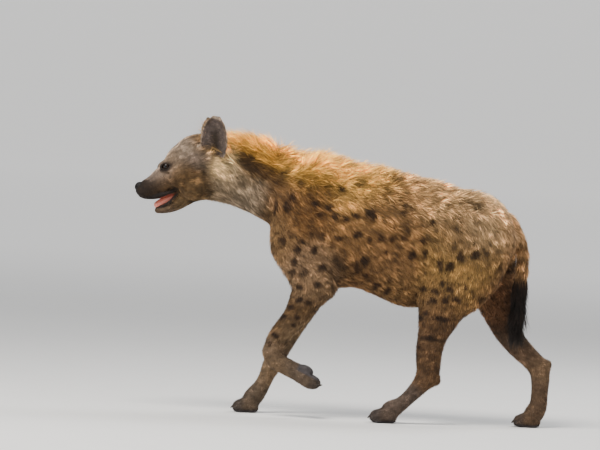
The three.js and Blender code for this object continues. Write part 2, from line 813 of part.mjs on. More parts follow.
function tailLocks(stations, { count, perRing, length, width, rise, seed, start, end }) {
  const random = seeded(seed);
  const locks = [];
  const curve = new THREE.CatmullRomCurve3(stations.map(([x, y, z]) => point(x, y, z)));
  const table = stations.map((station, i) => [i, station[3], station[4]]);
  for (let i = 0; i < count; i++) {
    const ringNumber = Math.floor(i / perRing);
    const t = mix(start, end, ringNumber / Math.max(Math.ceil(count / perRing) - 1, 1));
    const centre = curve.getPoint(t);
    const lie = curve.getTangent(t);
    const [, halfDepth, halfWidth] = readTable(table, t * (stations.length - 1));
    const angle = ((i % perRing) + (ringNumber % 2) * 0.5 + random() * 0.3) / perRing * 2 * Math.PI;
    const across = point(lie.z, 0, -lie.x).normalize();
    const normal = across
      .clone()
      .multiplyScalar(Math.cos(angle) / halfDepth)
      .add(point(0, Math.sin(angle) / halfWidth, 0))
      .normalize();
    const root = centre
      .clone()
      .addScaledVector(across, Math.cos(angle) * halfDepth)
      .add(point(0, Math.sin(angle) * halfWidth, 0));
    const size = 0.85 + 0.3 * random();
    locks.push(
      lockSolid({
        root, normal, lie, length: length * size, width, thick: 7, rise: rise * size, sink: 7,
      }),
    );
  }
  return locks;
}

// The turn of the head: the neck bends smoothly, and everything ahead of it turns as one.
function turnHead(positions) {
  for (let i = 0; i < positions.length; i += 3) {
    const share = THREE.MathUtils.smoothstep(-positions[i], -TURN_FROM, -TURN_TO);
    const angle = radians(HEAD_TURN) * share;
    const dx = positions[i] - TURN_CENTRE;
    const y = positions[i + 1];
    const roll = radians(HEAD_ROLL) * share;
    const dz = positions[i + 2] - ROLL_HEIGHT;
    const rolledY = Math.cos(roll) * y + Math.sin(roll) * dz;
    positions[i + 2] = ROLL_HEIGHT + Math.cos(roll) * dz - Math.sin(roll) * y;
    positions[i] = TURN_CENTRE + Math.cos(angle) * dx - Math.sin(angle) * rolledY;
    positions[i + 1] = Math.sin(angle) * dx + Math.cos(angle) * rolledY;
  }
}

// Colours

const COAT = new THREE.MeshStandardMaterial({ color: "#a5834f", roughness: 0.9, metalness: 0 });
const MANE_HAIR = new THREE.MeshStandardMaterial({ color: "#b98443", roughness: 0.9, metalness: 0 });
const FACE = new THREE.MeshStandardMaterial({ color: "#6b5d4e", roughness: 0.9, metalness: 0 });
const LEG = new THREE.MeshStandardMaterial({ color: "#7b6648", roughness: 0.9, metalness: 0 });
const BRUSH_HAIR = new THREE.MeshStandardMaterial({ color: "#2f2219", roughness: 0.9, metalness: 0 });
const NOSE_SKIN = new THREE.MeshStandardMaterial({ color: "#1d1917", roughness: 0.5, metalness: 0 });
const TONGUE_SKIN = new THREE.MeshStandardMaterial({ color: "#c0706a", roughness: 0.4, metalness: 0 });
const EYE_GLOSS = new THREE.MeshStandardMaterial({ color: "#20140d", roughness: 0.1, metalness: 0 });

const animal = new THREE.Group();

// A node of the neck or head turns with the head.
function addNode(name, solid, material, turns = false) {
  const mesh = largest(solid).getMesh();
  const positions = new Float32Array(mesh.vertProperties);
  if (turns) turnHead(positions);
  const geometry = new THREE.BufferGeometry();
  geometry.setAttribute("position", new THREE.BufferAttribute(positions, 3));
  geometry.setIndex(new THREE.BufferAttribute(new Uint32Array(mesh.triVerts), 1));
  const node = new THREE.Mesh(geometry, material);
  node.name = name;
  animal.add(node);
}

const torso = torsoCore(0);
const torsoGrown = torsoCore(GAP);
const head = headSolid(0);
const headGrown = headSolid(GAP);
const neck = castLength(bodyForm, NECK_SPINE, NECK_SIDES, REACH, 0);

const ears = {};
for (const side of [LEFT, RIGHT]) ears[side] = earSolid(side).subtract(headGrown);
const earsGrown = joined([thickened(ears[LEFT], 2 * GAP), thickened(ears[RIGHT], 2 * GAP)]);

const aheadOfNeckBack = halfSpace([NECK_BACK - GAP / 2, 700, 0], 1);
const behindTorsoFront = halfSpace([NECK_BACK + GAP / 2, 700, 0], -1);

const maneLocks = joined([...coatLocks(MANE), ...coatLocks(MEETING_AHEAD)])
  .subtract(headGrown)
  .subtract(aheadOfNeckBack);
addNode("neck", neck.add(maneLocks).subtract(earsGrown), MANE_HAIR, true);
addNode("head", head, FACE, true);

const tail = limb(TAIL, 12, 1, 0).subtract(torsoGrown);
const tailGrown = limb(TAIL, 12, 1, GAP);

const legs = [
  ["left", LEFT_FORELEG], ["right", RIGHT_FORELEG], ["left", LEFT_HINDLEG], ["right", RIGHT_HINDLEG],
];
const thighsGrown = [];
for (const [side, leg] of legs) {
  let parentGrown = torsoGrown;
  for (const [part, stations] of Object.entries(leg)) {
    const name = side + "_" + part;
    const solid = limbNode(name, stations, 0).subtract(parentGrown).subtract(tailGrown);
    parentGrown = limbNode(name, stations, GAP);
    if (part === "thigh" || part === "upper_arm") thighsGrown.push(parentGrown);
    addNode(name, solid, LEG);
  }
}
const thighs = joined(thighsGrown);

const backLocks = joined([MEETING_BEHIND, WITHERS, BACK].flatMap(coatLocks))
  .subtract(behindTorsoFront)
  .subtract(tailGrown)
  .subtract(thighs);
addNode("torso", torso.add(backLocks), COAT);
addNode("tail", tail, COAT);

const brush = limb(BRUSH, 10, 1, 0).add(
  joined(
    tailLocks(BRUSH, {
      count: 12, perRing: 4, length: 104, width: 48, rise: 15, seed: 51, start: 0.1, end: 0.86,
    }),
  ),
);
addNode("tail_brush", brush.subtract(tailGrown).subtract(thighs), BRUSH_HAIR);

for (const side of [LEFT, RIGHT]) {
  const name = side === LEFT ? "left" : "right";
  addNode(name + "_ear", ears[side], FACE, true);
  const [x, y, z] = EYE.at;
  const ball = knob([x, y * side, z], [EYE.radius, EYE.radius, EYE.radius], 0, 0, 10);
  addNode(name + "_eye", ball, EYE_GLOSS, true);
}
const lowerJaw = (grow) => limb(JAW, 12, 1, grow).add(joined(lipRolls(LOWER_LIP, grow)));
const jaw = lowerJaw(0).subtract(headGrown);
const jawGrown = lowerJaw(GAP);
addNode("lower_jaw", jaw, FACE, true);
const tongue = limb(TONGUE, 10, 1, 0).subtract(headGrown).subtract(jawGrown);
addNode("tongue", tongue, TONGUE_SKIN, true);
addNode("nose", noseSolid(0).subtract(headGrown), NOSE_SKIN, true);

// The origin lies on the floor under the middle of the whole animal.
const part = new THREE.Group();
part.add(animal);
const extent = new THREE.Box3().setFromObject(animal, true);
const middle = extent.getCenter(point(0, 0, 0));
animal.position.set(-middle.x, -middle.y, -extent.min.z);

export default part;
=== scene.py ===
# %% [markdown]
# # A spotted hyena in skin and fur
#
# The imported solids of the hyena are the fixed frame. This lesson puts the real surface on them: one
# continuous skin, then the coat as many thin tufts of solid mesh, then the eyes, nose, tongue and claws.
# All sizes below are in millimetres in the animal's own frame: -X to the nose, +Y to its right, +Z up.

import math

import bpy
import mathutils
import numpy as np
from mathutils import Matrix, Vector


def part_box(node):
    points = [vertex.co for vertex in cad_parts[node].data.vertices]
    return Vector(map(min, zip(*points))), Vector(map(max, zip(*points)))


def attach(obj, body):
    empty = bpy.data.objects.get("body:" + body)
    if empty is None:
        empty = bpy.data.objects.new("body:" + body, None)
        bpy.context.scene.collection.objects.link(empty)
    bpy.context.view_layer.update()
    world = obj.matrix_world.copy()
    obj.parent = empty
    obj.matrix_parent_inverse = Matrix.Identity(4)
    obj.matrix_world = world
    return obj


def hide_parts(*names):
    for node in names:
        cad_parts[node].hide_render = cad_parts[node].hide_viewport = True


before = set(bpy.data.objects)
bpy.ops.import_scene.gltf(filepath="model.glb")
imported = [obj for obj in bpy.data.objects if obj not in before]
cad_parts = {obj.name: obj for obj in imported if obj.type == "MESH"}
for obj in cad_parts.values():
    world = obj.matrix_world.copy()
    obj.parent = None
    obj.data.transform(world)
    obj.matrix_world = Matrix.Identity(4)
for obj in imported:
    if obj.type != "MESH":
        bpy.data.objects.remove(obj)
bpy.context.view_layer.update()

# %% [markdown]
# ## The body's own measures
#
# A sculptor starts from callipers: how high, wide and deep the animal is at each place. A scan would say
# the same in millions of points, which nobody could read or change. Here a few sections stand for each
# part. The trunk is a table along the spine, the head a heap of soft masses, and the legs and the tail are
# chains of oval sections. They follow the solids, so that the skin falls just inside them.

# %% Trunk and tail
LEFT, RIGHT = -1, 1

# Place along the body, height of the coat's tips, underside, half width, depth of the coat.
TRUNK = np.array([
    [-640, 856, 668, 60, 26], [-600, 862, 655, 72, 36], [-549, 869, 648, 80, 44],
    [-500, 870, 633, 84, 48], [-450, 868, 613, 90, 50], [-404, 856, 586, 98, 48],
    [-383, 849, 541, 105, 46], [-358, 839, 490, 113, 44], [-332, 834, 440, 121, 42],
    [-300, 829, 408, 129, 40], [-262, 827, 398, 135, 38], [-200, 817, 401, 141, 34],
    [-130, 801, 408, 143, 30], [-70, 795, 388, 141, 26], [0, 779, 362, 136, 24],
    [50, 768, 356, 130, 22], [110, 759, 366, 123, 20], [170, 737, 398, 118, 18],
    [240, 713, 440, 110, 16], [300, 674, 488, 96, 14], [345, 634, 530, 72, 12],
    [366, 604, 562, 38, 10],
], float)
EGG = 0.14  # how much narrower the trunk is at the back than low on the ribs
# Centre, radii and pitch of each mass, on both sides.
TRUNK_MASSES = [
    ([-312, 78, 640], [160, 42, 66], 70),  # shoulder blade and its muscles
    ([-346, 40, 530], [46, 52, 66], 0),  # breast
    ([215, 62, 590], [125, 56, 112], -20),  # haunch
]
# Sections of the tail, and of every chain below: x, y, z, half depth seen from the side, half width.
TAIL = [
    [330, 0, 642, 26, 24], [352, 0, 612, 24, 22], [372, 0, 572, 22, 20], [383, 0, 532, 20, 18],
    [384, 0, 492, 19, 17], [379, 0, 440, 17, 15], [377, 0, 390, 15, 13], [378, 0, 340, 12, 11],
    [377, 0, 300, 9, 8],
]
BRUSH = TAIL[4:]  # the half of the tail that carries the black brush
print(len(TRUNK), "sections in the trunk and", len(TAIL), "in the tail")

# %% Head
# Centre, radii and pitch of each mass, on both sides.
HEAD_MASSES = [
    ([-652, 0, 782], [84, 66, 68], 28),  # brain case
    ([-640, 0, 836], [52, 24, 22], 12),  # crest along the skull
    ([-702, 0, 777], [41, 45, 34], 46),  # forehead
    ([-691, 46, 727], [50, 34, 38], 22),  # cheekbone
    ([-652, 44, 706], [54, 38, 52], 10),  # jaw muscle
    ([-650, 0, 690], [60, 52, 42], 15),  # throat under the skull
    ([-688, 0, 672], [48, 36, 38], 28),  # root of the lower jaw
    ([-742, 30, 762], [18, 15, 11], 40),  # brow
    ([-596, 42, 796], [30, 20, 26], 0),  # gristle at the root of the ear
    ([-786, 17, 668], [30, 17, 16], 4),  # pad that carries the whiskers
]
MUZZLE = [
    [-708, 0, 733, 50, 54], [-735, 0, 712, 47, 45], [-763, 0, 691, 41, 39],
    [-790, 0, 681, 33, 36], [-807, 0, 680, 26, 32],
]
MUZZLE_END = [-806, 0, 680, 25, 30]  # where the skin stops, behind the nose leather
print(len(HEAD_MASSES), "masses and", len(MUZZLE), "sections in the head")

# %% Legs
# Sections down each limb, in three parts.
LEGS = {
    "left_fore": {
        "upper": [[-338, -80, 566, 58, 38], [-312, -90, 505, 70, 44], [-276, -97, 450, 72, 47],
                  [-256, -101, 410, 62, 44]],
        "middle": [[-256, -102, 412, 58, 42], [-281, -101, 374, 51, 37], [-304, -98, 322, 43, 32],
                   [-325, -95, 293, 39, 29], [-351, -91, 260, 36, 27], [-369, -88, 228, 33, 27],
                   [-377, -86, 203, 30, 29]],
        "foot": [[-378, -86, 198, 28, 29], [-366, -85, 176, 30, 30], [-340, -84, 162, 28, 30],
                 [-312, -83, 149, 28, 32], [-285, -82, 137, 28, 37], [-264, -82, 128, 28, 40]],
    },
    "right_fore": {
        "upper": [[-338, 80, 566, 58, 38], [-308, 88, 505, 66, 44], [-270, 94, 450, 66, 46],
                  [-244, 97, 412, 55, 42]],
        "middle": [[-244, 97, 414, 50, 40], [-262, 95, 370, 44, 34], [-284, 92, 322, 36, 29],
                   [-306, 89, 282, 33, 27], [-324, 86, 248, 31, 26], [-345, 83, 206, 29, 26],
                   [-364, 80, 172, 29, 27], [-377, 78, 146, 29, 28]],
        "foot": [[-376, 78, 152, 27, 28], [-388, 77, 120, 25, 27], [-399, 76, 94, 25, 28],
                 [-411, 75, 72, 28, 32], [-427, 75, 50, 31, 37], [-446, 75, 35, 28, 40]],
    },
    "left_hind": {
        "upper": [[232, -50, 616, 112, 38], [222, -63, 560, 124, 48], [205, -76, 500, 126, 54],
                  [176, -86, 440, 106, 53], [146, -92, 390, 84, 47], [134, -95, 345, 67, 41]],
        "middle": [[134, -95, 352, 65, 41], [124, -95, 310, 55, 36], [115, -94, 276, 48, 32],
                   [109, -92, 240, 45, 29], [107, -90, 206, 42, 28], [109, -88, 172, 39, 27],
                   [108, -87, 146, 34, 27]],
        "foot": [[100, -87, 144, 32, 26], [88, -86, 124, 29, 26], [69, -86, 101, 25, 26],
                 [43, -85, 73, 23, 28], [24, -85, 57, 25, 32], [3, -85, 43, 30, 38],
                 [-18, -85, 34, 28, 40]],
    },
    "right_hind": {
        "upper": [[240, 50, 616, 110, 38], [250, 63, 560, 114, 48], [266, 75, 505, 106, 52],
                  [284, 84, 450, 88, 50], [306, 88, 400, 68, 45], [328, 89, 356, 57, 40]],
        "middle": [[324, 89, 362, 55, 40], [346, 88, 308, 48, 35], [368, 86, 272, 41, 31],
                   [394, 84, 243, 37, 28], [420, 81, 220, 35, 26], [442, 79, 200, 34, 26],
                   [456, 78, 184, 32, 27]],
        "foot": [[460, 78, 186, 31, 27], [462, 77, 146, 30, 27], [462, 76, 117, 28, 26],
                 [461, 75, 86, 28, 27], [458, 75, 62, 30, 31], [448, 75, 44, 32, 36],
                 [433, 75, 33, 28, 39]],
    },
}
# Points of the elbow and hock: centre, radii, pitch.
BONES = [
    ([-212, -102, 402], [24, 18, 27], 30), ([-202, 97, 406], [22, 18, 26], 20),
    ([134, -88, 142], [17, 15, 22], 20), ([481, 78, 198], [18, 15, 16], 30),
]
print(sum(len(part) for leg in LEGS.values() for part in leg.values()), "sections in", len(LEGS), "legs")

# %% Paws
# The main pad, where the toes start, and their heading in the side view.
PAWS = {
    "left_fore": {"pad": ([-268, -82, 150], [24, 27, 14], -25), "toes": [-264, -82, 125], "heading": -24},
    "right_fore": {"pad": ([-436, 75, 12], [25, 28, 16], 0), "toes": [-446, 75, 15.5], "heading": 182},
    "left_hind": {"pad": ([-8, -85, 12], [25, 28, 16], 0), "toes": [-20, -85, 15.5], "heading": 180},
    "right_hind": {"pad": ([442, 75, 12], [25, 28, 16], 0), "toes": [430, 75, 15.5], "heading": 182},
}
TOE_OFFSETS = [-31, -11, 11, 31]
TOE_LENGTHS = [24, 34, 34, 24]
print(len(PAWS), "paws with", len(TOE_OFFSETS), "toes each")

# %% [markdown]
# ## The bend of the neck
#
# The head is turned a few degrees towards the viewer and rolled a little. A head that is modelled turned
# needs other measures on each side. So it is built straight, and every finished point is then moved by
# one smooth bend, as a taxidermist bends the neck of a form. The middle between the two eye solids tells
# where the animal stands in the frame.

# %% The bend, and the place in the frame
EYE = {"at": [-740, 37.5, 752], "radius": 12.5, "lids": [20, 15.2, 15.6], "length": 13,
       "height": 7.6, "slant": 14, "forward": 20}
HEAD_TURN, HEAD_ROLL = 7, 3  # degrees, towards its left, and the left ear up
ROLL_HEIGHT = 760
TURN_FROM, TURN_TO, TURN_CENTRE = -440, -590, -515
TURN_ABOVE = 560  # lower down are the forelegs, which don't turn with the head


def smooth_step(low, high, value):
    """0 below low, 1 above high, and an even slope between them."""
    t = np.clip((value - low) / (high - low), 0, 1)
    return t * t * (3 - 2 * t)


def turned(points):
    """Points of the straight head, moved by the bend of the neck."""
    p = np.asarray(points, float)
    share = smooth_step(-TURN_FROM, -TURN_TO, -p[:, 0]) * (p[:, 2] > TURN_ABOVE)
    angle, roll = np.radians(HEAD_TURN) * share, np.radians(HEAD_ROLL) * share
    dx, y, dz = p[:, 0] - TURN_CENTRE, p[:, 1], p[:, 2] - ROLL_HEIGHT
    rolled = np.cos(roll) * y + np.sin(roll) * dz
    x = TURN_CENTRE + np.cos(angle) * dx - np.sin(angle) * rolled
    return np.stack([x, np.sin(angle) * dx + np.cos(angle) * rolled,
                     ROLL_HEIGHT + np.cos(roll) * dz - np.sin(roll) * y], 1)


def centre_of(node):
    """The middle of a solid, in millimetres."""
    low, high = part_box(node)
    return (np.array(low) + np.array(high)) * 500


eyes_here = turned([[EYE["at"][0], side * EYE["at"][1], EYE["at"][2]] for side in (LEFT, RIGHT)])
ORIGIN = (centre_of("left_eye") + centre_of("right_eye") - eyes_here.sum(0)) / 2


def placed(points, straight=False):
    """The animal's millimetres as metres in the frame of the solids."""
    p = np.asarray(points, float) if straight else turned(points)
    return (p + ORIGIN) / 1000


print("the animal's own zero lies at", ORIGIN.round(1), "mm in the frame of the solids")

# %% [markdown]
# ## Forms that melt into one another
#
# Real skin has no seams where a leg meets the trunk. Sculpting that with polygons is slow. Here every mass
# is a function that says how far a point is from its surface, and a smooth minimum melts two masses as wax
# would. One surface is then drawn where the sum is zero.

# %% Curves through a table, and sums of distances
def read_table(table, place):
    """The columns of a table at places along its first column, on a smooth curve."""
    t = np.asarray(table, float)
    i = np.clip(np.searchsorted(t[:, 0], place, "right") - 1, 0, len(t) - 2)
    before, start, end, after = t[np.maximum(i - 1, 0)], t[i], t[i + 1], t[np.minimum(i + 2, len(t) - 1)]
    span = (end[..., :1] - start[..., :1])
    f = np.clip((np.asarray(place)[..., None] - start[..., :1]) / span, 0, 1)
    slope_in = (end - before) / (end[..., :1] - before[..., :1]) * span
    slope_out = (after - start) / (after[..., :1] - start[..., :1]) * span
    row = ((2 * f**3 - 3 * f**2 + 1) * start + (f**3 - 2 * f**2 + f) * slope_in
           + (3 * f**2 - 2 * f**3) * end + (f**3 - f**2) * slope_out)
    return [row[..., column] for column in range(1, t.shape[1])]


def smooth_min(a, b, reach):
    """The smaller of two distances, melted together over a reach."""
    h = np.maximum(reach - np.abs(a - b), 0) / reach
    return np.minimum(a, b) - h * h * reach * 0.25


def oval_distance(u, v, half_u, half_v):
    """About the distance from an oval."""
    inside = np.hypot(u / half_u, v / half_v)
    slope = np.hypot(u / (half_u * half_u), v / (half_v * half_v))
    return inside * (inside - 1) / np.maximum(slope, 1e-6)


print("two masses 4 mm away melt to", smooth_min(4.0, 4.0, 8), "mm")

# %% Barrel, egg and chain
# How far the skin lies below the tips of the coat.
DEPTH = {"trunk": 7, "belly": 6, "leg": 4.5, "foot": 2.5, "head": 2.6, "tail": 5, "brush": 4}


def barrel(x, y, z):
    """The trunk and neck, at the roots of the hair."""
    tips, under, half, coat = read_table(TRUNK, np.asarray(x))
    top, under, half = tips - coat, under + DEPTH["belly"], half - DEPTH["trunk"]
    tall = (top - under) / 2
    v = z - (top + under) / 2
    d = oval_distance(y, v, half * (1 - EGG * np.clip(v / tall, -1.5, 1.5)), tall)
    past = np.maximum(np.maximum(TRUNK[0, 0] - x, x - TRUNK[-1, 0]), 0)
    return np.hypot(np.maximum(d, 0), past) + np.minimum(d, 0)


def mass(centre, radii, pitch=0, mirrored=True):
    """A soft egg, on both sides where mirrored."""
    c, s = math.cos(math.radians(pitch)), math.sin(math.radians(pitch))
    rx, ry, rz = radii

    def form(x, y, z):
        u = c * (x - centre[0]) + s * (z - centre[2])
        w = c * (z - centre[2]) - s * (x - centre[0])
        v = (np.abs(y) if mirrored else y) - centre[1]
        inside = np.sqrt((u / rx) ** 2 + (v / ry) ** 2 + (w / rz) ** 2)
        slope = np.sqrt((u / rx**2) ** 2 + (v / ry**2) ** 2 + (w / rz**2) ** 2)
        return inside * (inside - 1) / np.maximum(slope, 1e-6)

    around = max(radii)
    low = [centre[0] - around, -centre[1] - ry if mirrored else centre[1] - ry, centre[2] - around]
    high = [centre[0] + around, centre[1] + ry, centre[2] + around]
    return form, low, high


def finer(stations, steps=3):
    """A chain with more sections, on a smooth curve through the given ones."""
    rows = np.column_stack([np.arange(len(stations)), np.array(stations, float)])
    return np.stack(read_table(rows, np.linspace(0, len(stations) - 1, steps * (len(stations) - 1) + 1)), 1)


def chain(stations, steps=3, mirrored=False, depth=0):
    """A chain of sections as one form, under a coat of some depth."""
    rows = finer(stations, steps)
    rows[:, 3:] -= depth

    def form(x, y, z):
        nearest = np.inf
        v_here = np.abs(y) if mirrored else y
        for a, b in zip(rows[:-1], rows[1:]):
            dx, dz = b[0] - a[0], b[2] - a[2]
            t = np.clip(((x - a[0]) * dx + (z - a[2]) * dz) / (dx * dx + dz * dz), 0, 1)
            u = np.hypot(x - a[0] - dx * t, z - a[2] - dz * t)
            v = v_here - (a[1] + (b[1] - a[1]) * t)
            deep, wide = a[3] + (b[3] - a[3]) * t, a[4] + (b[4] - a[4]) * t
            nearest = np.minimum(nearest, oval_distance(u, v, deep, wide))
        return nearest

    around = rows[:, 3:].max()
    low, high = rows[:, :3].min(0) - around, rows[:, :3].max(0) + around
    if mirrored:
        low[1] = -high[1]
    return form, low, high


print("coat depths", DEPTH)

# %% [markdown]
# ## A grid that is fine where the face is
#
# The sum of all forms is read at the nodes of one grid. Its steps are about 2 mm at the face, 3 mm at the
# paws and 5 mm along the body, so that lids and lips come out sharp without millions of points at the
# belly.

# %% The grid and its operations
UNTOUCHED = 80  # mm, the distance at a node that no form has come near
ADD_MARGIN, CARVE_MARGIN = 14, 6  # mm, how far round a form the grid is changed, past its reach


def steps_between(*stretches):
    """Grid places from stretches of (start, end, step)."""
    return np.concatenate([np.arange(a, b, s) for a, b, s in stretches] + [[stretches[-1][1]]])


class Clay:
    """Distances to the skin at the nodes of a grid."""

    def __init__(self, xs, ys, zs):
        self.axes = [np.asarray(v, np.float32) for v in (xs, ys, zs)]
        self.value = np.full([len(v) for v in self.axes], UNTOUCHED, np.float32)

    def window(self, low, high, margin):
        """The part of the grid near a form."""
        cut = [slice(*np.searchsorted(a, (lo - margin, hi + margin)))
               for a, lo, hi in zip(self.axes, low, high)]
        x, y, z = (a[s] for a, s in zip(self.axes, cut))
        return tuple(cut), x[:, None, None], y[None, :, None], z[None, None, :]

    def add(self, form, low, high, reach=8):
        """Melts a form on."""
        cut, x, y, z = self.window(low, high, reach + ADD_MARGIN)
        self.value[cut] = smooth_min(self.value[cut], form(x, y, z), reach)

    def carve(self, form, low, high, reach=2):
        """Takes a form away."""
        cut, x, y, z = self.window(low, high, reach + CARVE_MARGIN)
        self.value[cut] = -smooth_min(-self.value[cut], form(x, y, z), reach)


clay = Clay(
    steps_between((-848, -690, 2.0), (-690, -560, 2.6), (-560, 520, 4.5)),
    steps_between((-156, -122, 4), (-122, -66, 2.4), (-66, -16, 2.3), (-16, 16, 3.2), (16, 66, 2.3),
                  (66, 122, 2.4), (122, 156, 4)),
    steps_between((-6, 180, 2.8), (180, 600, 5.0), (600, 700, 2.6), (700, 800, 2.1), (800, 940, 2.8)),
)
print("grid of", " x ".join(str(len(a)) for a in clay.axes), "nodes")

# %% [markdown]
# ## Trunk, legs and tail
#
# The trunk comes first. Each leg is melted by itself and then joined to the trunk with a wide reach, so the
# thigh and the upper arm flow into the body, while two legs side by side never melt together. A hyena
# walks on four toes with blunt claws. They could be four eggs in a row, but then the paw looks like a
# bun, so a narrow gap is carved between each two of them.

# %% Toes and the gaps between them
# Sections of a toe: share of its length, millimetres past that, rise, half depth, half width.
TOE = [(0, -14, 5, 18, 7.5), (0.3, 0, 6.5, 20.5, 10), (0.7, 0, 3, 20, 9.8), (1, -8, 1, 17.5, 9)]
# Sections of a gap: place along the toes, rise, half depth, half width.
GAP = [(0, 26, 7, 1.2), (16, 20, 12, 1.8), (42, 8, 20, 3)]
GAP_OFFSETS = (-21, 0, 21)


def paw_ways(paw):
    """The way the toes point, and the way out of the upper side of the paw."""
    heading = math.radians(paw["heading"])
    forward = np.array([math.cos(heading), 0, math.sin(heading)])
    return forward, np.array([forward[2], 0, -forward[0]])


def toe_chain(paw, offset, length):
    """One toe: a raised knuckle and a blunt tip, set wider than its root."""
    forward, up = paw_ways(paw)
    rows = []
    for fraction, past, rise, deep, wide in TOE:
        along = length * fraction + past
        spread = offset * (0.92 + 0.13 * max(along, 0) / length)
        rows.append([*(np.array(paw["toes"]) + forward * along + up * rise + [0, spread, 0]), deep, wide])
    return rows


def gap_chain(paw, offset):
    """The gap between two toes, deeper and wider towards their tips."""
    forward, up = paw_ways(paw)
    return [[*(np.array(paw["toes"]) + forward * along + up * rise + [0, offset, 0]), deep, wide]
            for along, rise, deep, wide in GAP]


print("toes are", min(TOE_LENGTHS), "to", max(TOE_LENGTHS), "mm long")

# %% Melt the body
ALL_LOW, ALL_HIGH = [-900, -200, -50], [600, 200, 1000]
PART_DEPTH = {"upper": DEPTH["trunk"], "middle": DEPTH["leg"], "foot": DEPTH["foot"]}


def melted(parts, reach):
    """Several forms as one."""
    def form(x, y, z):
        total = None
        for part, _, _ in parts:
            d = part(x, y, z)
            total = d if total is None else smooth_min(total, d, reach)
        return total

    return form, np.min([p[1] for p in parts], 0), np.max([p[2] for p in parts], 0)


def melt_leg(leg, paw):
    """One leg with its paw, melted by itself and then into the body."""
    parts = []
    for part, stations in leg.items():
        rows = np.array(stations, float)
        if part == "foot":  # its rounded end stops short, so that the toes stand free
            back = rows[-2, :3] - rows[-1, :3]
            rows[-1, :3] += back / np.linalg.norm(back) * rows[-1, 3] * 0.6
        parts.append(chain(rows, 2, depth=PART_DEPTH[part]))
    toes = [chain(toe_chain(paw, o, n)) for o, n in zip(TOE_OFFSETS, TOE_LENGTHS)]
    clay.add(*melted(parts[:2], 14), reach=30)
    clay.add(*melted(parts[2:] + [mass(*paw["pad"], mirrored=False)], 8), reach=12)
    clay.add(*melted(toes, 2), reach=11)
    for offset in GAP_OFFSETS:
        clay.carve(*chain(gap_chain(paw, offset)), reach=3)


clay.add(barrel, ALL_LOW, ALL_HIGH)
for centre, radii, pitch in TRUNK_MASSES:
    clay.add(*mass(centre, [r - DEPTH["trunk"] for r in radii], pitch), reach=40)
for name, leg in LEGS.items():
    melt_leg(leg, PAWS[name])
for centre, radii, pitch in BONES:
    clay.add(*mass(centre, [r - DEPTH["leg"] for r in radii], pitch, mirrored=False), reach=12)
clay.add(*chain(TAIL[:5], 2, depth=DEPTH["tail"]), reach=14)
clay.add(*chain(BRUSH, 1, depth=DEPTH["brush"]), reach=6)
print("body melted:", int((clay.value < 0).sum()), "nodes inside")

# %% [markdown]
# ## Mouth, nose and folds
#
# A mouth is a gap between rolls of skin. Cutting it into a finished mesh leaves torn edges, so it is
# carved from the clay. Everything below the line of the lips goes first. Then the lower jaw, the palate
# and the rolls of the lips are laid in again. Shallow creases are carved below the eye, behind the mouth,
# over the brow and down the neck.

# %% Measures of the mouth, nose and folds
LIP_LINE = [[-704, 679], [-734, 663], [-764, 650], [-790, 647], [-850, 668]]
JAW_CUT = [[-850, 520], [-662, 520], [-674, 628]]
MOUTH = LIP_LINE + JAW_CUT
MOUTH_LOW, MOUTH_HIGH = [-850, -70, 560], [-662, 70, 690]
JAW = [[-684, 0, 656, 30, 34], [-702, 0, 641, 25, 31], [-722, 0, 627, 18, 27],
       [-742, 0, 618, 12, 23], [-756, 0, 617, 11, 19]]
TROUGH = [[-700, 0, 664, 14, 20], [-724, 0, 645, 10, 17], [-748, 0, 632, 8, 12]]  # where the tongue lies
PALATE = [[-692, 0, 679, 11, 18], [-720, 0, 673, 11, 17], [-750, 0, 663, 9, 15], [-776, 0, 657, 6, 12]]
UPPER_LIP = [[-700, 36, 685, 5, 5], [-732, 34, 671, 6, 5], [-762, 30, 660, 7, 5],
             [-790, 22, 657, 7, 6], [-808, 9, 661, 7, 6]]
LOWER_LIP = [[-700, 31, 670, 5, 5], [-722, 25, 645, 5, 5], [-742, 19, 632, 5, 5],
             [-757, 6, 625, 5, 5]]
NOSE = {"at": [-816, 0, 687], "radii": [14.5, 17, 15.5], "pitch": -30}
# Sections of each crease, and how softly its edges melt.
FOLDS = [
    ([[-757, 40, 738, 2.5, 5], [-738, 47, 731, 3, 6], [-716, 56, 732, 2.5, 5]], 4),
    ([[-704, 50, 690, 3, 6], [-694, 54, 672, 3, 7], [-697, 48, 655, 2.5, 6]], 5),
    ([[-668, 58, 735, 3, 6], [-660, 64, 706, 3.5, 7], [-664, 62, 682, 3, 6]], 6),
    ([[-750, 38, 772, 2.5, 5], [-733, 46, 776, 3, 5], [-716, 50, 770, 2.5, 4]], 4),
    ([[-600, 70, 742, 3, 7], [-566, 76, 706, 3.5, 9], [-520, 79, 672, 3, 8], [-474, 78, 640, 3, 7]], 7),
    ([[-590, 68, 700, 3, 7], [-545, 74, 676, 3.5, 9], [-500, 74, 648, 3, 8]], 7),
    ([[-520, 80, 730, 3, 8], [-478, 86, 690, 3.5, 9], [-440, 88, 640, 3.5, 9], [-414, 84, 600, 3, 8]], 8),
    ([[-470, 86, 742, 3, 8], [-432, 91, 700, 3.5, 9], [-406, 93, 650, 3, 8]], 8),
]


def polygon_distance(outline, x, z):
    """Signed distance from an outline in the side view, negative inside."""
    best, inside = np.inf, False
    for (ax, az), (bx, bz) in zip(outline, outline[1:] + outline[:1]):
        dx, dz = bx - ax, bz - az
        t = np.clip(((x - ax) * dx + (z - az) * dz) / (dx ** 2 + dz ** 2), 0, 1)
        best = np.minimum(best, np.hypot(x - ax - t * dx, z - az - t * dz))
        crosses = (az > z) != (bz > z)
        at = ax + (z - az) * dx / (dz if dz != 0 else 1)
        inside = inside ^ (crosses & (x < at))
    return np.where(inside, -best, best)


def mouth_gap(x, y, z):
    """Everything below the line of the lips, all the way across."""
    return polygon_distance(MOUTH, x, z) + 0 * y


print(len(FOLDS), "creases on each side")

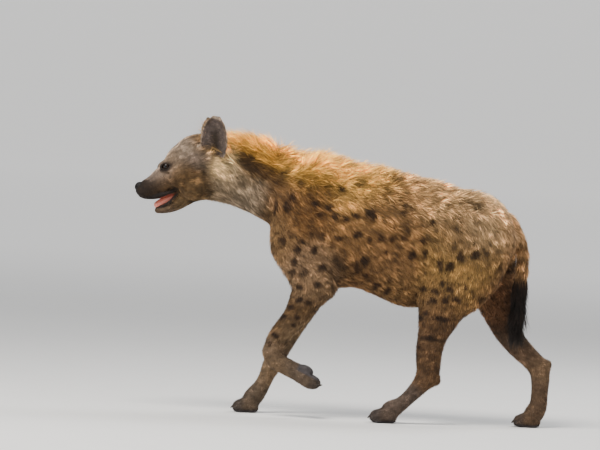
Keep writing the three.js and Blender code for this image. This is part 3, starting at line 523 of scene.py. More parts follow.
# %% [markdown]
# ## Lids and ears
#
# The lids are a swelling over the eye with an almond cut into it, and the ball of the eye will fill the
# hollow. An ear is a thin curved wall of gristle. A bent sheet of mesh would need a seam at its root, so
# each ear is a form of its own, a bowl that is deeper at the root than at the tip, and melts into the skull.

# %% The slit between the lids
def eye_axes(side):
    """The eye's centre, and its ways out, along the slit and across it."""
    f, s = math.radians(EYE["forward"]), math.radians(EYE["slant"])
    out = np.array([-math.sin(f), side * math.cos(f), 0])
    level = np.array([math.cos(f), side * math.sin(f), 0])
    up = np.array([0, 0, 1.0])
    centre = np.array([EYE["at"][0], side * EYE["at"][1], EYE["at"][2]])
    return centre, out, math.cos(s) * level + math.sin(s) * up, math.cos(s) * up - math.sin(s) * level


def lid_slit(side):
    """The almond between the lids."""
    centre, out, along, across = eye_axes(side)

    def form(x, y, z):
        dx, dy, dz = x - centre[0], y - centre[1], z - centre[2]
        o, a, b = (dx * v[0] + dy * v[1] + dz * v[2] for v in (out, along, across))
        half = EYE["height"] * (1 - (a / EYE["length"]) ** 2)
        return np.maximum((np.abs(b) - half) * 0.8, 5 - o)

    return form, centre - 22, centre + 22


print("the slits are", 2 * EYE["length"], "mm long")

# %% The ears
EAR = {
    "root": [-602, 71, 789], "height": 130, "width": 98, "wall": 5,
    "opens": {LEFT: [-0.5, -0.86, 0.08], RIGHT: [-0.74, 0.67, 0.08]},
}
EAR_WIDTHS = [0.8, 0.97, 1, 0.98, 0.88, 0.66, 0.26]  # share of the width, from the root to the tip
EAR_LEAN = 0.27  # to its own side, for each millimetre up
EAR_EDGE = 2.6  # thickness at the rim
BOWL_DEEP, BOWL_LOSS = 21, 12  # depth of the bowl at the root, and how much less it is at the tip


def ear_frame(side):
    """The ear's root, its way up, and what reads a place as height, out of the bowl and across."""
    up = np.array([0.02, EAR_LEAN * side, 1])
    opens = np.array(EAR["opens"][side], float)
    up /= np.linalg.norm(up)
    opens /= np.linalg.norm(opens)
    across = np.cross(opens, up)
    ways = np.stack([up, opens, across / np.linalg.norm(across)], 1)
    return np.array(EAR["root"]) * [1, side, 1], up, np.linalg.inv(ways)


def ear_place(side, x, y, z):
    """Height, its share, place across, half width, share of that, and how far in front of the wall."""
    root, _, read = ear_frame(side)
    dx, dy, dz = x - root[0], y - root[1], z - root[2]
    h, o, a = (dx * row[0] + dy * row[1] + dz * row[2] for row in read)
    s = np.clip(h / EAR["height"], 0, 1)
    half = np.interp(s, np.linspace(0, 1, len(EAR_WIDTHS)), EAR_WIDTHS) * EAR["width"] / 2
    bowl = (BOWL_DEEP - BOWL_LOSS * s) * np.minimum(1, half * 2 / EAR["width"] + 0.2)
    t = a / half
    return h, s, a, half, t, o + bowl * (1 - np.clip(t, -1, 1) ** 2)


def ear_bowl(side):
    """A curved sheet for one ear, thickest along its middle and at its root."""
    def form(x, y, z):
        h, s, a, half, t, front = ear_place(side, x, y, z)
        wall = (EAR["wall"] + 3 * (1 - s)) * (1 - t * t) + EAR_EDGE * t * t
        sheet = np.abs(front + wall / 2) - np.maximum(wall, EAR_EDGE) / 2
        edge = np.maximum(np.abs(a) - half, np.maximum(h - EAR["height"], -h))
        return -smooth_min(-sheet * 0.75, -edge * 0.9, 2.5)

    root, up, _ = ear_frame(side)
    reach = np.array([60, 60, 30])
    tip = root + up * EAR["height"]
    return form, np.minimum(root, tip) - reach, np.maximum(root, tip) + reach


print("the ears are", EAR["height"], "mm high and", EAR["width"], "mm wide")

# %% Melt and carve the head
FLOOR_LOW, FLOOR_HIGH = [-900, -200, -6], [600, 200, 1]


def below_floor(x, y, z):
    """Everything under the floor, so that the soles come out flat."""
    return z + 0 * x + 0 * y


clay.add(*chain(MUZZLE[:-1] + [MUZZLE_END], depth=DEPTH["head"]), reach=24)
for centre, radii, pitch in HEAD_MASSES:
    clay.add(*mass(centre, [r - DEPTH["head"] for r in radii], pitch), reach=16)
clay.carve(mouth_gap, MOUTH_LOW, MOUTH_HIGH, reach=3)
clay.add(*chain(JAW, depth=1.5), reach=5)
clay.carve(*chain(TROUGH), reach=3)
clay.add(*chain(PALATE), reach=4)
for roll in (UPPER_LIP, LOWER_LIP):
    clay.add(*chain(roll, mirrored=True, depth=0.7), reach=5)
clay.carve(*mass(NOSE["at"], [r + 0.5 for r in NOSE["radii"]], NOSE["pitch"]), reach=1)
for fold, reach in FOLDS:
    clay.carve(*chain(fold, mirrored=True), reach=reach)
for side in (LEFT, RIGHT):
    centre = np.array(EYE["at"]) * [1, side, 1]
    clay.add(*mass(centre, EYE["lids"], EYE["slant"], mirrored=False), reach=9)
    socket = [EYE["radius"] + 0.4] * 3
    clay.carve(*mass(centre, socket, mirrored=False), reach=1)
    clay.carve(*lid_slit(side), reach=1.5)
    clay.add(*ear_bowl(side), reach=5)
clay.carve(below_floor, FLOOR_LOW, FLOOR_HIGH, reach=0.6)
print("head melted and carved:", int((clay.value < 0).sum()), "nodes inside")

# %% [markdown]
# ## One skin from the grid
#
# The skin is a net with one knot in every grid cell that the zero surface crosses, and a square mesh
# between neighbouring knots. Blender could remesh the masses instead, but a net from the grid keeps the
# fine steps at the face. A few array operations make it, and only its largest closed surface is kept.

# %% Knots and squares
def net_of(clay):
    """Knots and squares of the zero surface."""
    f = clay.value
    cells = np.array(f.shape) - 1
    ids, spots, squares = [], [], []
    for axis in range(3):
        first, second = [slice(None)] * 3, [slice(None)] * 3
        first[axis], second[axis] = slice(0, -1), slice(1, None)
        near, far = f[tuple(first)], f[tuple(second)]
        found = np.argwhere((near < 0) != (far < 0))
        a, b = near[tuple(found.T)], far[tuple(found.T)]
        place = np.stack([clay.axes[k][found[:, k]] for k in range(3)], 1).astype(float)
        step = clay.axes[axis][found[:, axis] + 1] - clay.axes[axis][found[:, axis]]
        place[:, axis] += step * a / (a - b)
        one, two = (axis + 1) % 3, (axis + 2) % 3
        corners = []
        for back_one, back_two in ((1, 1), (0, 1), (0, 0), (1, 0)):
            cell = found.copy()
            cell[:, one] -= back_one
            cell[:, two] -= back_two
            corners.append(np.ravel_multi_index(cell.T, cells))
        corners = np.stack(corners, 1)
        ids.append(corners.ravel())
        spots.append(np.repeat(place, 4, axis=0))
        squares.append(np.where((a < 0)[:, None], corners, corners[:, ::-1]))
    ids, spots = np.concatenate(ids), np.concatenate(spots)
    names, index = np.unique(ids, return_inverse=True)
    count = np.bincount(index)
    knots = np.stack([np.bincount(index, spots[:, k]) / count for k in range(3)], 1)
    return knots, np.searchsorted(names, np.concatenate(squares))


net = net_of(clay)
print("the zero surface gives", len(net[0]), "knots and", len(net[1]), "squares")

# %% Even out the net
def relaxed(knots, squares, rounds, keep):
    """Knots drawn towards the middle of their neighbours, which evens the net."""
    edges = np.unique(np.sort(np.concatenate([squares[:, [k, (k + 1) % 4]] for k in range(4)]), 1), axis=0)
    degree = np.bincount(edges.ravel(), minlength=len(knots))[:, None]
    for _ in range(rounds):
        total = np.zeros_like(knots)
        for k in range(3):
            total[:, k] = (np.bincount(edges[:, 0], knots[edges[:, 1], k], len(knots))
                           + np.bincount(edges[:, 1], knots[edges[:, 0], k], len(knots)))
        knots = keep * knots + (1 - keep) * total / np.maximum(degree, 1)
    return knots


def biggest_shell(knots, squares):
    """Only the largest connected surface of a net."""
    label = np.arange(len(knots))
    while True:
        low = label[squares].min(1)
        fresh = label.copy()
        for corner in range(4):
            np.minimum.at(fresh, squares[:, corner], low)
        fresh = fresh[fresh]
        if (fresh == label).all():
            break
        label = fresh
    keep_label = np.bincount(label[squares[:, 0]]).argmax()
    squares = squares[label[squares[:, 0]] == keep_label]
    used = np.unique(squares)
    return knots[used], np.searchsorted(used, squares)


knots, squares = biggest_shell(*net)
knots = relaxed(knots, squares, rounds=2, keep=0.55)
LOWEST = 0.2  # mm above the floor
knots[:, 2] = np.maximum(knots[:, 2], LOWEST)
print(len(knots), "knots and", len(squares), "squares")

# %% Draw the skin
def mesh_object(name, vertices, faces):
    """A smooth mesh object from arrays of points in metres and faces of one kind."""
    mesh = bpy.data.meshes.new(name)
    mesh.vertices.add(len(vertices))
    mesh.vertices.foreach_set("co", np.asarray(vertices, np.float32).ravel())
    mesh.loops.add(faces.size)
    mesh.loops.foreach_set("vertex_index", faces.astype(np.int32).ravel())
    mesh.polygons.add(len(faces))
    mesh.polygons.foreach_set("loop_start", np.arange(0, faces.size, faces.shape[1], dtype=np.int32))
    mesh.polygons.foreach_set("use_smooth", np.ones(len(faces), bool))
    mesh.update(calc_edges=True)
    made = bpy.data.objects.new(name, mesh)
    bpy.context.scene.collection.objects.link(made)
    return made


def normals_of(vertices, faces):
    """Unit normals at the vertices of a net of squares, and the area of each square."""
    across = vertices[faces[:, 2]] - vertices[faces[:, 0]]
    along = vertices[faces[:, 3]] - vertices[faces[:, 1]]
    face = np.cross(across, along) / 2
    total = np.zeros_like(vertices)
    for k in range(3):
        for corner in range(4):
            total[:, k] += np.bincount(faces[:, corner], face[:, k], len(vertices))
    size = np.linalg.norm(total, axis=1, keepdims=True)
    return total / np.maximum(size, 1e-9), np.linalg.norm(face, axis=1)


skin_normal, square_area = normals_of(knots, squares)
skin = mesh_object("skin", placed(knots), squares)
print("skin of", round(square_area.sum() / 1e6, 2), "square metres")

# %% [markdown]
# ## Where on the animal is this point?
#
# The lie, length and colour of hair change over the body. To know them anywhere, each point of the skin
# asks how near it is to each part. Near parts share the answer, so that nothing changes with a hard edge.

# %% Shares of the parts
FAR_OFF = 200.0  # mm, for points that no form is near
NEAR_BOX = 40  # mm, how far round a form's box it is asked


def nearest(forms, points):
    """The least distance from points to a list of forms."""
    x, y, z = points.T
    best = np.full(len(points), FAR_OFF)
    for form, low, high in forms:
        low, high = np.array(low) - NEAR_BOX, np.array(high) + NEAR_BOX
        near = np.all((points > low) & (points < high), axis=1)
        if near.any():
            best[near] = np.minimum(best[near], form(x[near], y[near], z[near]))
    return best


FORMS = {
    "trunk": [(barrel, ALL_LOW, ALL_HIGH)] + [mass(c, r, p) for c, r, p in TRUNK_MASSES],
    "head": [mass(c, r, p) for c, r, p in HEAD_MASSES] + [chain(MUZZLE), chain(JAW)],
    "ears": [ear_bowl(LEFT), ear_bowl(RIGHT)],
    "tail": [chain(TAIL, 1)],
}
for name, leg in LEGS.items():
    for part, stations in leg.items():
        FORMS[name + part] = [chain(stations, 1)]
    FORMS[name + "foot"] += [chain(toe_chain(PAWS[name], o, n)) for o, n in zip(TOE_OFFSETS, TOE_LENGTHS)]


def shares_of(points, softness=9):
    """How much each part owns of each point, adding up to one."""
    raw = {part: np.exp(-np.maximum(nearest(forms, points) + 6, 0) / softness)
           for part, forms in FORMS.items()}
    total = sum(raw.values())
    return {part: share / total for part, share in raw.items()}


share = shares_of(knots)
print({part: round(float((s > 0.5).mean()), 3) for part, s in share.items()})

# %% [markdown]
# ## The lie of the coat
#
# Hair on the muzzle starts at the nose and runs back. On the flank it runs back and down, on the legs
# straight down, and on the belly back. The mane of a spotted hyena is unusual: on the neck it runs forward
# and up. This lie is what makes fur look combed by the animal's own life instead of glued on. It could be
# combed by hand, but as a function of place it is the same on every run.

# %% The lie of the hair
trunk_tips, trunk_under, _, trunk_coat = read_table(TRUNK, knots[:, 0])
trunk_middle = (trunk_tips - trunk_coat + trunk_under) / 2
level = np.clip((knots[:, 2] - trunk_middle) / (trunk_tips - trunk_coat - trunk_middle), -1, 1)  # 1 on top
on_top = smooth_step(0.55, 0.97, level)
on_neck = smooth_step(-330, -430, knots[:, 0])
x, y, z = knots.T


def along_chain(stations, points):
    """The direction down a chain of sections at the nearest link."""
    best, way = np.full(len(points), np.inf), np.zeros((len(points), 3))
    rows = np.array(stations, float)[:, :3]
    for a, b in zip(rows[:-1], rows[1:]):
        t = np.clip(((points - a) @ (b - a)) / ((b - a) @ (b - a)), 0, 1)
        off = np.linalg.norm(points - a - t[:, None] * (b - a), axis=1)
        closer = off < best
        best[closer] = off[closer]
        way[closer] = (b - a) / np.linalg.norm(b - a)
    return way


def unit(v):
    """Vectors at length one."""
    return v / np.maximum(np.linalg.norm(v, axis=-1, keepdims=True), 1e-9)


def lie_on_trunk():
    """Back and down, but forward and up on the crest of the neck."""
    flank = np.stack([np.full_like(x, 0.85), 0 * x, -0.25 - 0.55 * (1 - on_top)], 1)
    flank[:, 2] -= 0.8 * smooth_step(200, 330, x)
    belly = smooth_step(-0.55, -0.9, level)[:, None]
    flank = flank * (1 - belly) + np.array([1, 0, -0.1]) * belly
    crest = np.stack([np.full_like(x, -0.55), 0 * x, np.full_like(x, 0.9)], 1)
    mane = (on_neck * on_top)[:, None]
    return unit(flank * (1 - mane) + crest * mane)


def lie_on_head():
    """From the nose backwards, up over the brow and down the cheek."""
    return unit(np.stack([np.full_like(x, 0.9), 0.25 * np.sign(y) * smooth_step(-720, -650, x),
                          0.55 * smooth_step(700, 800, z) - 0.5 * smooth_step(730, 660, z)], 1))


lie = share["trunk"][:, None] * lie_on_trunk() + share["head"][:, None] * lie_on_head()
lie += share["ears"][:, None] * np.stack([0 * x, 0.3 * np.sign(y), 1 + 0 * x], 1)
lie += share["tail"][:, None] * along_chain(TAIL, knots)
for name, leg in LEGS.items():
    for part, stations in leg.items():
        way = along_chain(stations, knots) + (np.array([0.35, 0, 0]) if part == "upper" else 0)
        lie += share[name + part][:, None] * way
lie = unit(lie - (lie * skin_normal).sum(1, keepdims=True) * skin_normal)
print(round(float((lie[:, 2] < 0).mean()), 2), "of the skin has hair that points down")

# %% [markdown]
# ## Length and depth of the coat
#
# A hyena's hair is shortest on the feet and the face and longest on the back. Each part has a length and
# a height that its tips reach over the skin, and the shares of the parts blend them. The muzzle and the
# rims of the eyes are shorter still, and the throat is longer.

# %% Length and depth of the hair
PART_LENGTH = {"head": 14, "ears": 5, "tail": 34, "upper": 18, "middle": 11, "foot": 6}
PART_RISE = {"head": 2.8, "ears": 1.2, "tail": 8, "upper": 6.5, "middle": 4.3, "foot": 2.6}
long_here = 18 + 18 * smooth_step(-0.5, 0.4, level) + 12 * on_top + 8 * on_neck
long_here = long_here * (1 - 0.6 * smooth_step(-560, -612, x))
length = share["trunk"] * long_here
rise = share["trunk"] * (DEPTH["trunk"] + (trunk_coat - 7) * on_top)
for part in share:
    kind = next((k for k in PART_LENGTH if part.endswith(k)), None)
    if kind:
        length = length + share[part] * PART_LENGTH[kind]
        rise = rise + share[part] * PART_RISE[kind]
muzzle = smooth_step(-715, -760, x)
eye_off = [np.linalg.norm(knots - np.array(EYE["at"]) * [1, side, 1], axis=1) for side in (LEFT, RIGHT)]
around_eye = smooth_step(34, 16, np.min(eye_off, axis=0))
throat = smooth_step(-690, -640, x) * smooth_step(720, 670, z) * share["head"]
length = length * (1 - 0.6 * muzzle) * (1 - 0.6 * around_eye) + 12 * throat
rise = rise * (1 - 0.45 * muzzle) * (1 - 0.5 * around_eye) + 2 * throat
print("hair from", round(float(length.min()), 1), "to", round(float(length.max()), 1), "mm long")

# %% [markdown]
# ## Colours and markings
#
# The coat is painted once, as a function of place, and both the skin and the hair ask it. A brush on each
# mesh would never match at the seams. Each zone is a soft cloud with the colour that the animal shows there
# in daylight. That is partly its own colour, and partly painted sunlight that makes the back brighter and
# painted shade that makes the belly a little darker. Then come the spots: dark brown, a little ragged, clear
# on the flank and thigh, and fading where the long grey hair of the back covers them. Short strokes make the
# dark lines and the painted shade in the gap between the tail and the buttock, and faint noise spots fill the
# gaps.

# %% Zones of colour
ZONES = [  # name, place (x, z), reach, colour as seen in daylight: own colour with painted sunlight on top and painted shade below
    ("nose and lips", (-815, 680), 34, (30, 22, 16)), ("muzzle", (-775, 676), 29, (44, 31, 20)),
    ("bridge", (-758, 738), 26, (116, 99, 86)), ("top of the muzzle", (-784, 725), 15, (108, 94, 84)),
    ("under the eye", (-722, 712), 30, (88, 66, 43)), ("chin", (-740, 620), 26, (84, 66, 48)),
    ("forehead", (-700, 812), 40, (138, 120, 102)), ("brow", (-722, 788), 22, (112, 92, 72)),
    ("cheek", (-672, 712), 40, (100, 76, 48)), ("throat", (-650, 650), 40, (108, 86, 58)),
    ("ear", (-610, 880), 42, (84, 68, 60)), ("root of the ear", (-622, 786), 34, (104, 90, 80)),
    ("behind the ear", (-574, 766), 28, (250, 212, 150)),
    ("pale hair by the ear", (-538, 782), 25, (255, 226, 166)),
    ("front of mane", (-560, 856), 52, (222, 170, 80)), ("mane", (-430, 850), 70, (206, 150, 58)),
    ("dark under mane", (-455, 770), 36, (84, 56, 28)), ("side of neck", (-520, 720), 55, (146, 125, 98)),
    ("low neck", (-480, 660), 50, (156, 136, 112)), ("chest", (-390, 560), 60, (120, 92, 60)),
    ("shoulder", (-300, 640), 70, (122, 86, 48)), ("shoulder front", (-370, 700), 45, (128, 94, 60)),
    # painted sunlight: the withers, back and rump are lighter partly from their own pale hair and partly from
    # light falling on them from above
    ("withers", (-300, 800), 60, (230, 176, 82)), ("back", (-100, 775), 80, (228, 178, 92)),
    ("grey back", (-10, 690), 66, (150, 114, 74)), ("upper back", (60, 752), 50, (216, 172, 116)),
    ("rump top", (150, 720), 60, (210, 170, 118)), ("rump", (262, 650), 60, (236, 196, 144)),
    ("flank", (-80, 600), 90, (142, 104, 62)), ("low flank", (-60, 500), 70, (126, 92, 58)),
    # painted shade: the belly and the floor of the chest are a little darker from the shade underneath, as
    # well as from their own colour
    ("belly", (0, 410), 60, (128, 96, 60)), ("chest floor", (-260, 430), 60, (112, 88, 62)),
    ("haunch", (220, 590), 70, (124, 96, 64)), ("thigh", (180, 470), 80, (148, 114, 64)),
    ("lower thigh", (150, 370), 60, (104, 76, 50)), ("shank", (110, 250), 60, (92, 68, 46)),
    ("far thigh", (330, 380), 60, (124, 88, 62)), ("far shank", (400, 250), 60, (128, 102, 80)),
    ("hock", (470, 190), 36, (108, 86, 64)), ("hind paws", (-10, 30), 56, (84, 70, 60)),
    ("far hind paw", (450, 50), 50, (92, 72, 54)), ("upper arm", (-285, 460), 60, (142, 112, 82)),
    ("forearm", (-320, 310), 60, (90, 66, 40)), ("wrist", (-375, 215), 36, (106, 86, 66)),
    ("lifted paw", (-290, 145), 50, (90, 75, 61)), ("far forearm", (-300, 270), 40, (132, 110, 84)),
    ("far wrist", (-375, 140), 40, (116, 94, 70)), ("far forepaw", (-440, 30), 50, (84, 70, 56)),
    ("root of tail", (365, 610), 44, (178, 140, 98)), ("tail", (384, 510), 44, (160, 122, 82)),
    ("brush", (380, 400), 40, (34, 24, 18)), ("end of brush", (378, 290), 60, (20, 15, 13)),
]
# Colours that are laid over the zones.
OVER = {
    "spot": (40, 25, 16), "sole": (44, 37, 33), "toe": (58, 52, 50), "pad": (70, 66, 68),
    "brush": (19, 14, 12), "lip": (32, 25, 23), "gum": (176, 96, 82), "chin": (70, 56, 46),
    "lid": (34, 26, 22), "ear bowl": (78, 68, 64), "ear hollow shade": (18, 14, 12), "ear rim": (176, 156, 134),
    "ear back": (128, 104, 82),
}
print(len(ZONES), "zones and", len(OVER), "colours over them")

# %% Spots and strokes
# Spots as (x, z, half length, half height, strength), on the left side, in rows from neck to thigh.
SPOTS = [
    (-376, 741, 26, 22, 0.5), (-388, 641, 10, 22, 0.8), (-339, 677, 12, 18, 0.9), (-355, 653, 12, 18, 0.8),
    (-315, 725, 14, 12, 0.5), (-361, 545, 10, 16, 0.8), (-317, 522, 13, 16, 0.8), (-303, 546, 10, 10, 0.7),
    (-262, 521, 10, 14, 0.9), (-238, 472, 12, 15, 0.9), (-324, 481, 10, 14, 0.8), (-288, 453, 12, 11, 0.6),
    (-327, 450, 10, 10, 0.7), (-251, 416, 13, 12, 0.8), (-305, 406, 13, 12, 0.8), (-339, 570, 12, 11, 0.5),
    (-240, 569, 12, 12, 0.5), (-280, 588, 12, 12, 0.5), (-188, 716, 14, 9, 0.9), (-133, 731, 14, 10, 0.5),
    (-223, 654, 14, 12, 0.9), (-250, 631, 12, 12, 0.9), (-265, 665, 12, 11, 0.8), (-203, 630, 11, 11, 0.9),
    (-173, 625, 13, 11, 0.8), (-141, 637, 12, 12, 0.9), (-90, 640, 18, 20, 1.0), (8, 649, 12, 11, 0.8),
    (-15, 751, 14, 10, 0.6), (41, 748, 16, 8, 0.6), (9, 672, 12, 9, 0.5), (-133, 575, 14, 12, 1.0),
    (-98, 563, 9, 9, 0.9), (-54, 572, 14, 12, 1.0), (-24, 567, 10, 9, 0.9), (12, 575, 12, 11, 1.0),
    (69, 572, 13, 12, 1.0), (-42, 535, 8, 8, 0.9), (-189, 562, 10, 9, 0.8), (40, 521, 10, 20, 1.0),
    (78, 527, 9, 14, 1.0), (-104, 496, 12, 16, 1.0), (-126, 475, 10, 17, 0.9), (-97, 450, 12, 11, 0.9),
    (-63, 423, 14, 11, 0.8), (-33, 409, 11, 10, 0.7), (97, 625, 10, 14, 0.8), (128, 495, 11, 16, 1.0),
    (160, 495, 13, 15, 1.0), (189, 524, 11, 16, 1.0), (233, 535, 14, 13, 0.9), (268, 536, 12, 10, 0.6),
    (138, 439, 9, 9, 0.9), (161, 426, 10, 10, 0.9), (210, 431, 9, 9, 0.9), (117, 413, 13, 8, 0.9),
    (79, 422, 8, 8, 0.8), (110, 382, 14, 9, 0.9), (148, 386, 11, 9, 0.9), (181, 390, 12, 9, 0.8),
    (94, 345, 14, 7, 0.8), (75, 331, 9, 8, 0.7), (142, 332, 30, 8, 0.8), (105, 270, 21, 9, 0.8),
    (67, 357, 8, 8, 0.7), (71, 246, 9, 8, 0.6), (66, 208, 9, 8, 0.6), (-299, 365, 10, 9, 0.8),
    (-274, 357, 9, 8, 0.7), (-329, 342, 10, 9, 0.8), (-349, 312, 9, 9, 0.7), (-305, 315, 9, 9, 0.7),
    (-319, 286, 9, 8, 0.7), (-370, 252, 9, 8, 0.6), (-388, 226, 8, 8, 0.6),
]
# Longer dark strokes as (x, z) to (x, z), half width, strength. The last three are painted shade.
STROKES = [
    ((-500, 784), (-400, 745), 20, 0.78),  # below the mane
    ((-178, 510), (-182, 470), 24, 0.6),  # behind the elbow
    ((180, 705), (240, 680), 8, 0.7),  # on the rump
    ((396, 584), (389, 530), 7, 0.85),  # painted shade in the gap between the tail and the buttock
    ((389, 530), (366, 486), 9, 0.9),
    ((366, 486), (328, 458), 12, 0.85),
]
print(len(SPOTS), "spots and", len(STROKES), "strokes")

# %% Noise and layers of paint
SEED = 20


def linear(colour):
    """A colour as light adds up, from a colour as screens show it."""
    c = np.asarray(colour, float) / 255
    return np.where(c <= 0.04045, c / 12.92, ((c + 0.055) / 1.055) ** 2.4)


def lattice_noise(points, cell, seed):
    """Smooth noise from -1 to 1 with bumps about as wide as a cell."""
    q = np.asarray(points) / cell
    corner = np.floor(q).astype(np.int64)
    f = q - corner
    f = f * f * (3 - 2 * f)
    total = 0
    for dx in (0, 1):
        for dy in (0, 1):
            for dz in (0, 1):
                i, j, k = (corner + [dx, dy, dz]).T
                h = (i * 73856093) ^ (j * 19349663) ^ (k * 83492791) ^ (seed * 2654435761)
                h = ((h ^ (h >> 13)) * 1274126177) & 0x7FFFFFFF
                weight = np.abs(1 - dx - f[:, 0]) * np.abs(1 - dy - f[:, 1]) * np.abs(1 - dz - f[:, 2])
                total = total + weight * ((h ^ (h >> 16)) % 65536 / 32768 - 1)
    return total


def shaken(points, by, cell, seed):
    """Points moved back or forth and up or down by smooth noise, which makes an edge ragged."""
    p = np.asarray(points)
    return by * np.stack([lattice_noise(p, cell, seed), 0 * p[:, 0], lattice_noise(p, cell, seed + 1)], 1)


def painted(base, share, colour):
    """A colour laid over others, by its share."""
    return base * (1 - share[:, None]) + linear(colour) * share[:, None]


print("a middle grey of 128 is", round(float(linear(128)), 3), "as light")

# %% Pads, mouth, eyes and ears
def pad_share(p):
    """Where the bare pads under the paws are."""
    share = np.zeros(len(p))
    for paw in PAWS.values():
        forward, up = paw_ways(paw)
        off = p - np.array(paw["toes"])
        u, v = off @ forward, off @ up
        here = smooth_step(-46, -38, u) * (u < 60) * (np.abs(off[:, 1]) < 50) * (v > -60)
        share = np.maximum(share, here * smooth_step(-7, -12, v))
    return share


GUM_LINE = LIP_LINE + [[-850, 600], [-760, 629], [-722, 645], [-700, 665]]


def mouth_colour(p, base):
    """Dark lips, red gums and a dark chin."""
    px, py, pz = p.T
    rolls = np.minimum(*(nearest([chain(roll, mirrored=True)], p) for roll in (UPPER_LIP, LOWER_LIP)))
    base = painted(base, 0.92 * smooth_step(4, 0, rolls) * (px < -694), OVER["lip"])
    to_jaw = nearest([chain(JAW)], p)
    between = polygon_distance(GUM_LINE, px, pz)
    gum = smooth_step(2, -2, between) * smooth_step(24, 19, np.abs(py)) * (px < -682) * (px > -765)
    base = painted(base, gum * np.where(to_jaw < 4, 0.9, 1), OVER["gum"])
    chin = smooth_step(3, -1, to_jaw) * smooth_step(630, 618, pz)
    return painted(base, 0.4 * chin, OVER["chin"])


def lid_colour(side, p, base):
    """The dark rim of one eye and its tear line."""
    centre, out, along, across = eye_axes(side)
    off = p - centre
    rim = np.hypot((off @ along + 1) / 23, (off @ across) / 16.5)
    tear = np.hypot((off @ along + 19) / 13, (off @ across + 5) / 5)
    dark = smooth_step(1.3, 0.6, np.minimum(rim, tear))
    return painted(base, 0.95 * dark * (off @ out > -4), OVER["lid"])


def ear_colour(side, p, base):
    """The grey bowl with painted shade deep in its hollow, the pale rim and the brown back of one ear."""
    h, s, a, half, t, front = ear_place(side, *p.T)
    here = smooth_step(14, 3, np.abs(front + 3)) * smooth_step(-6, 8, h) * (np.abs(t) < 1.15)
    inside = smooth_step(-2.5, 0.5, front)
    # painted shade deep in the hollow of the bowl, near its root
    deep = np.exp(-((a - 2) / (0.3 * half + 4)) ** 2) * smooth_step(0.86, 0.5, s) * smooth_step(0.02, 0.2, s)
    bowl = linear(OVER["ear bowl"]) * (1 - deep[:, None]) + linear(OVER["ear hollow shade"]) * deep[:, None]
    rim = smooth_step(0.84, 0.97, np.abs(t)) + smooth_step(0.9, 0.97, s)
    bowl = painted(bowl, np.clip(rim, 0, 1) * 0.8, OVER["ear rim"])
    back = painted(base, np.full(len(p), 0.85), OVER["ear back"])
    ear = back * (1 - inside[:, None]) + bowl * inside[:, None]
    return base * (1 - here[:, None]) + ear * here[:, None]


print("bare pads on", round(float(pad_share(knots).mean()), 3), "of the skin's knots")

# %% The coat's colour at any point
HEAD_BEFORE = -545  # the face colours lie in front of this


def zone_colour(p):
    """The blend of the zones near each point."""
    total, weight = np.zeros((len(p), 3)), np.full(len(p), 1e-9)
    wander = p + shaken(p, 16, 60, 5)
    for _, (zx, zz), reach, colour in ZONES:
        w = np.exp(-((wander[:, 0] - zx) ** 2 + (wander[:, 2] - zz) ** 2) / (reach * reach)) + 1e-12
        total += w[:, None] * linear(colour)
        weight += w
    return total / weight[:, None]


def spot_and_shade_share(p):
    """How dark the spots and strokes are at each point, with other places for the right side's.
    Three strokes are painted shade in the gap between the tail and the buttock.
    """
    ragged = p + shaken(p, 6, 18, 3)
    ragged += shaken(p, 3.5, 7, 31)
    far = p[:, 1] > 0
    sx = ragged[:, 0] + np.where(far, 14 + 10 * lattice_noise(p, 90, 7), 0)
    sz = ragged[:, 2] + np.where(far, 9 * lattice_noise(p, 90, 8) - 6, 0)
    dark = np.zeros(len(p))
    for cx, cz, half_x, half_z, strength in SPOTS:
        r = np.hypot((sx - cx) / half_x, (sz - cz) / half_z)
        stronger = 1.6 if cz < 420 else 1.25  # the spots of the legs are the clearest
        dark = np.maximum(dark, min(1, strength * stronger) * smooth_step(1.5, 0.65, r))
    for (ax, az), (bx, bz), half, strength in STROKES:
        dx, dz = bx - ax, bz - az
        t = np.clip(((sx - ax) * dx + (sz - az) * dz) / (dx ** 2 + dz ** 2), 0, 1)
        r = np.hypot(sx - ax - t * dx, sz - az - t * dz) / half
        dark = np.maximum(dark, strength * smooth_step(1.4, 0.6, r))
    faint = smooth_step(0.3, 0.55, lattice_noise(ragged * [1, 0.4, 1], 21, 33))
    faint = faint * smooth_step(720, 640, p[:, 2])
    faint = 0.56 * faint * smooth_step(330, 400, p[:, 2]) * (p[:, 0] > -400) * (p[:, 0] < 320)
    middle = smooth_step(20, 50, np.abs(p[:, 1]))  # no spots along the midline, where the sides meet
    return np.maximum(dark, faint) * middle


def coat_colour(points):
    """Colour of the coat at points of the straight animal, with its painted sunlight and shade."""
    p = np.asarray(points, float)
    base = zone_colour(p)
    base *= (1.12 + 0.14 * lattice_noise(p, 34, 15) + 0.1 * lattice_noise(p, 13, 16))[:, None]
    # the spots, and the painted shade in the gap between the tail and the buttock, in one dark colour
    base = painted(base, 0.88 * spot_and_shade_share(p), OVER["spot"])
    base = painted(base, 0.8 * smooth_step(15, 7, p[:, 2]), OVER["sole"])
    for paw in PAWS.values():
        off = p - np.array(paw["toes"])
        toes = smooth_step(2, 26, off @ paw_ways(paw)[0]) * (np.linalg.norm(off, axis=1) < 75)
        base = painted(base, 0.62 * toes, OVER["toe"])
    base = painted(base, 0.92 * pad_share(p), OVER["pad"])
    brush = smooth_step(36, 24, nearest([chain(TAIL, 1)], p)) * smooth_step(476, 430, p[:, 2])
    base = painted(base, 0.96 * brush, OVER["brush"])
    head = p[:, 0] < HEAD_BEFORE
    face = mouth_colour(p[head], base[head])
    for side in (LEFT, RIGHT):
        face = ear_colour(side, p[head], lid_colour(side, p[head], face))
    base[head] = face
    return base


skin_colour = coat_colour(knots)
print("the skin's mean colour is", skin_colour.mean(0).round(3))

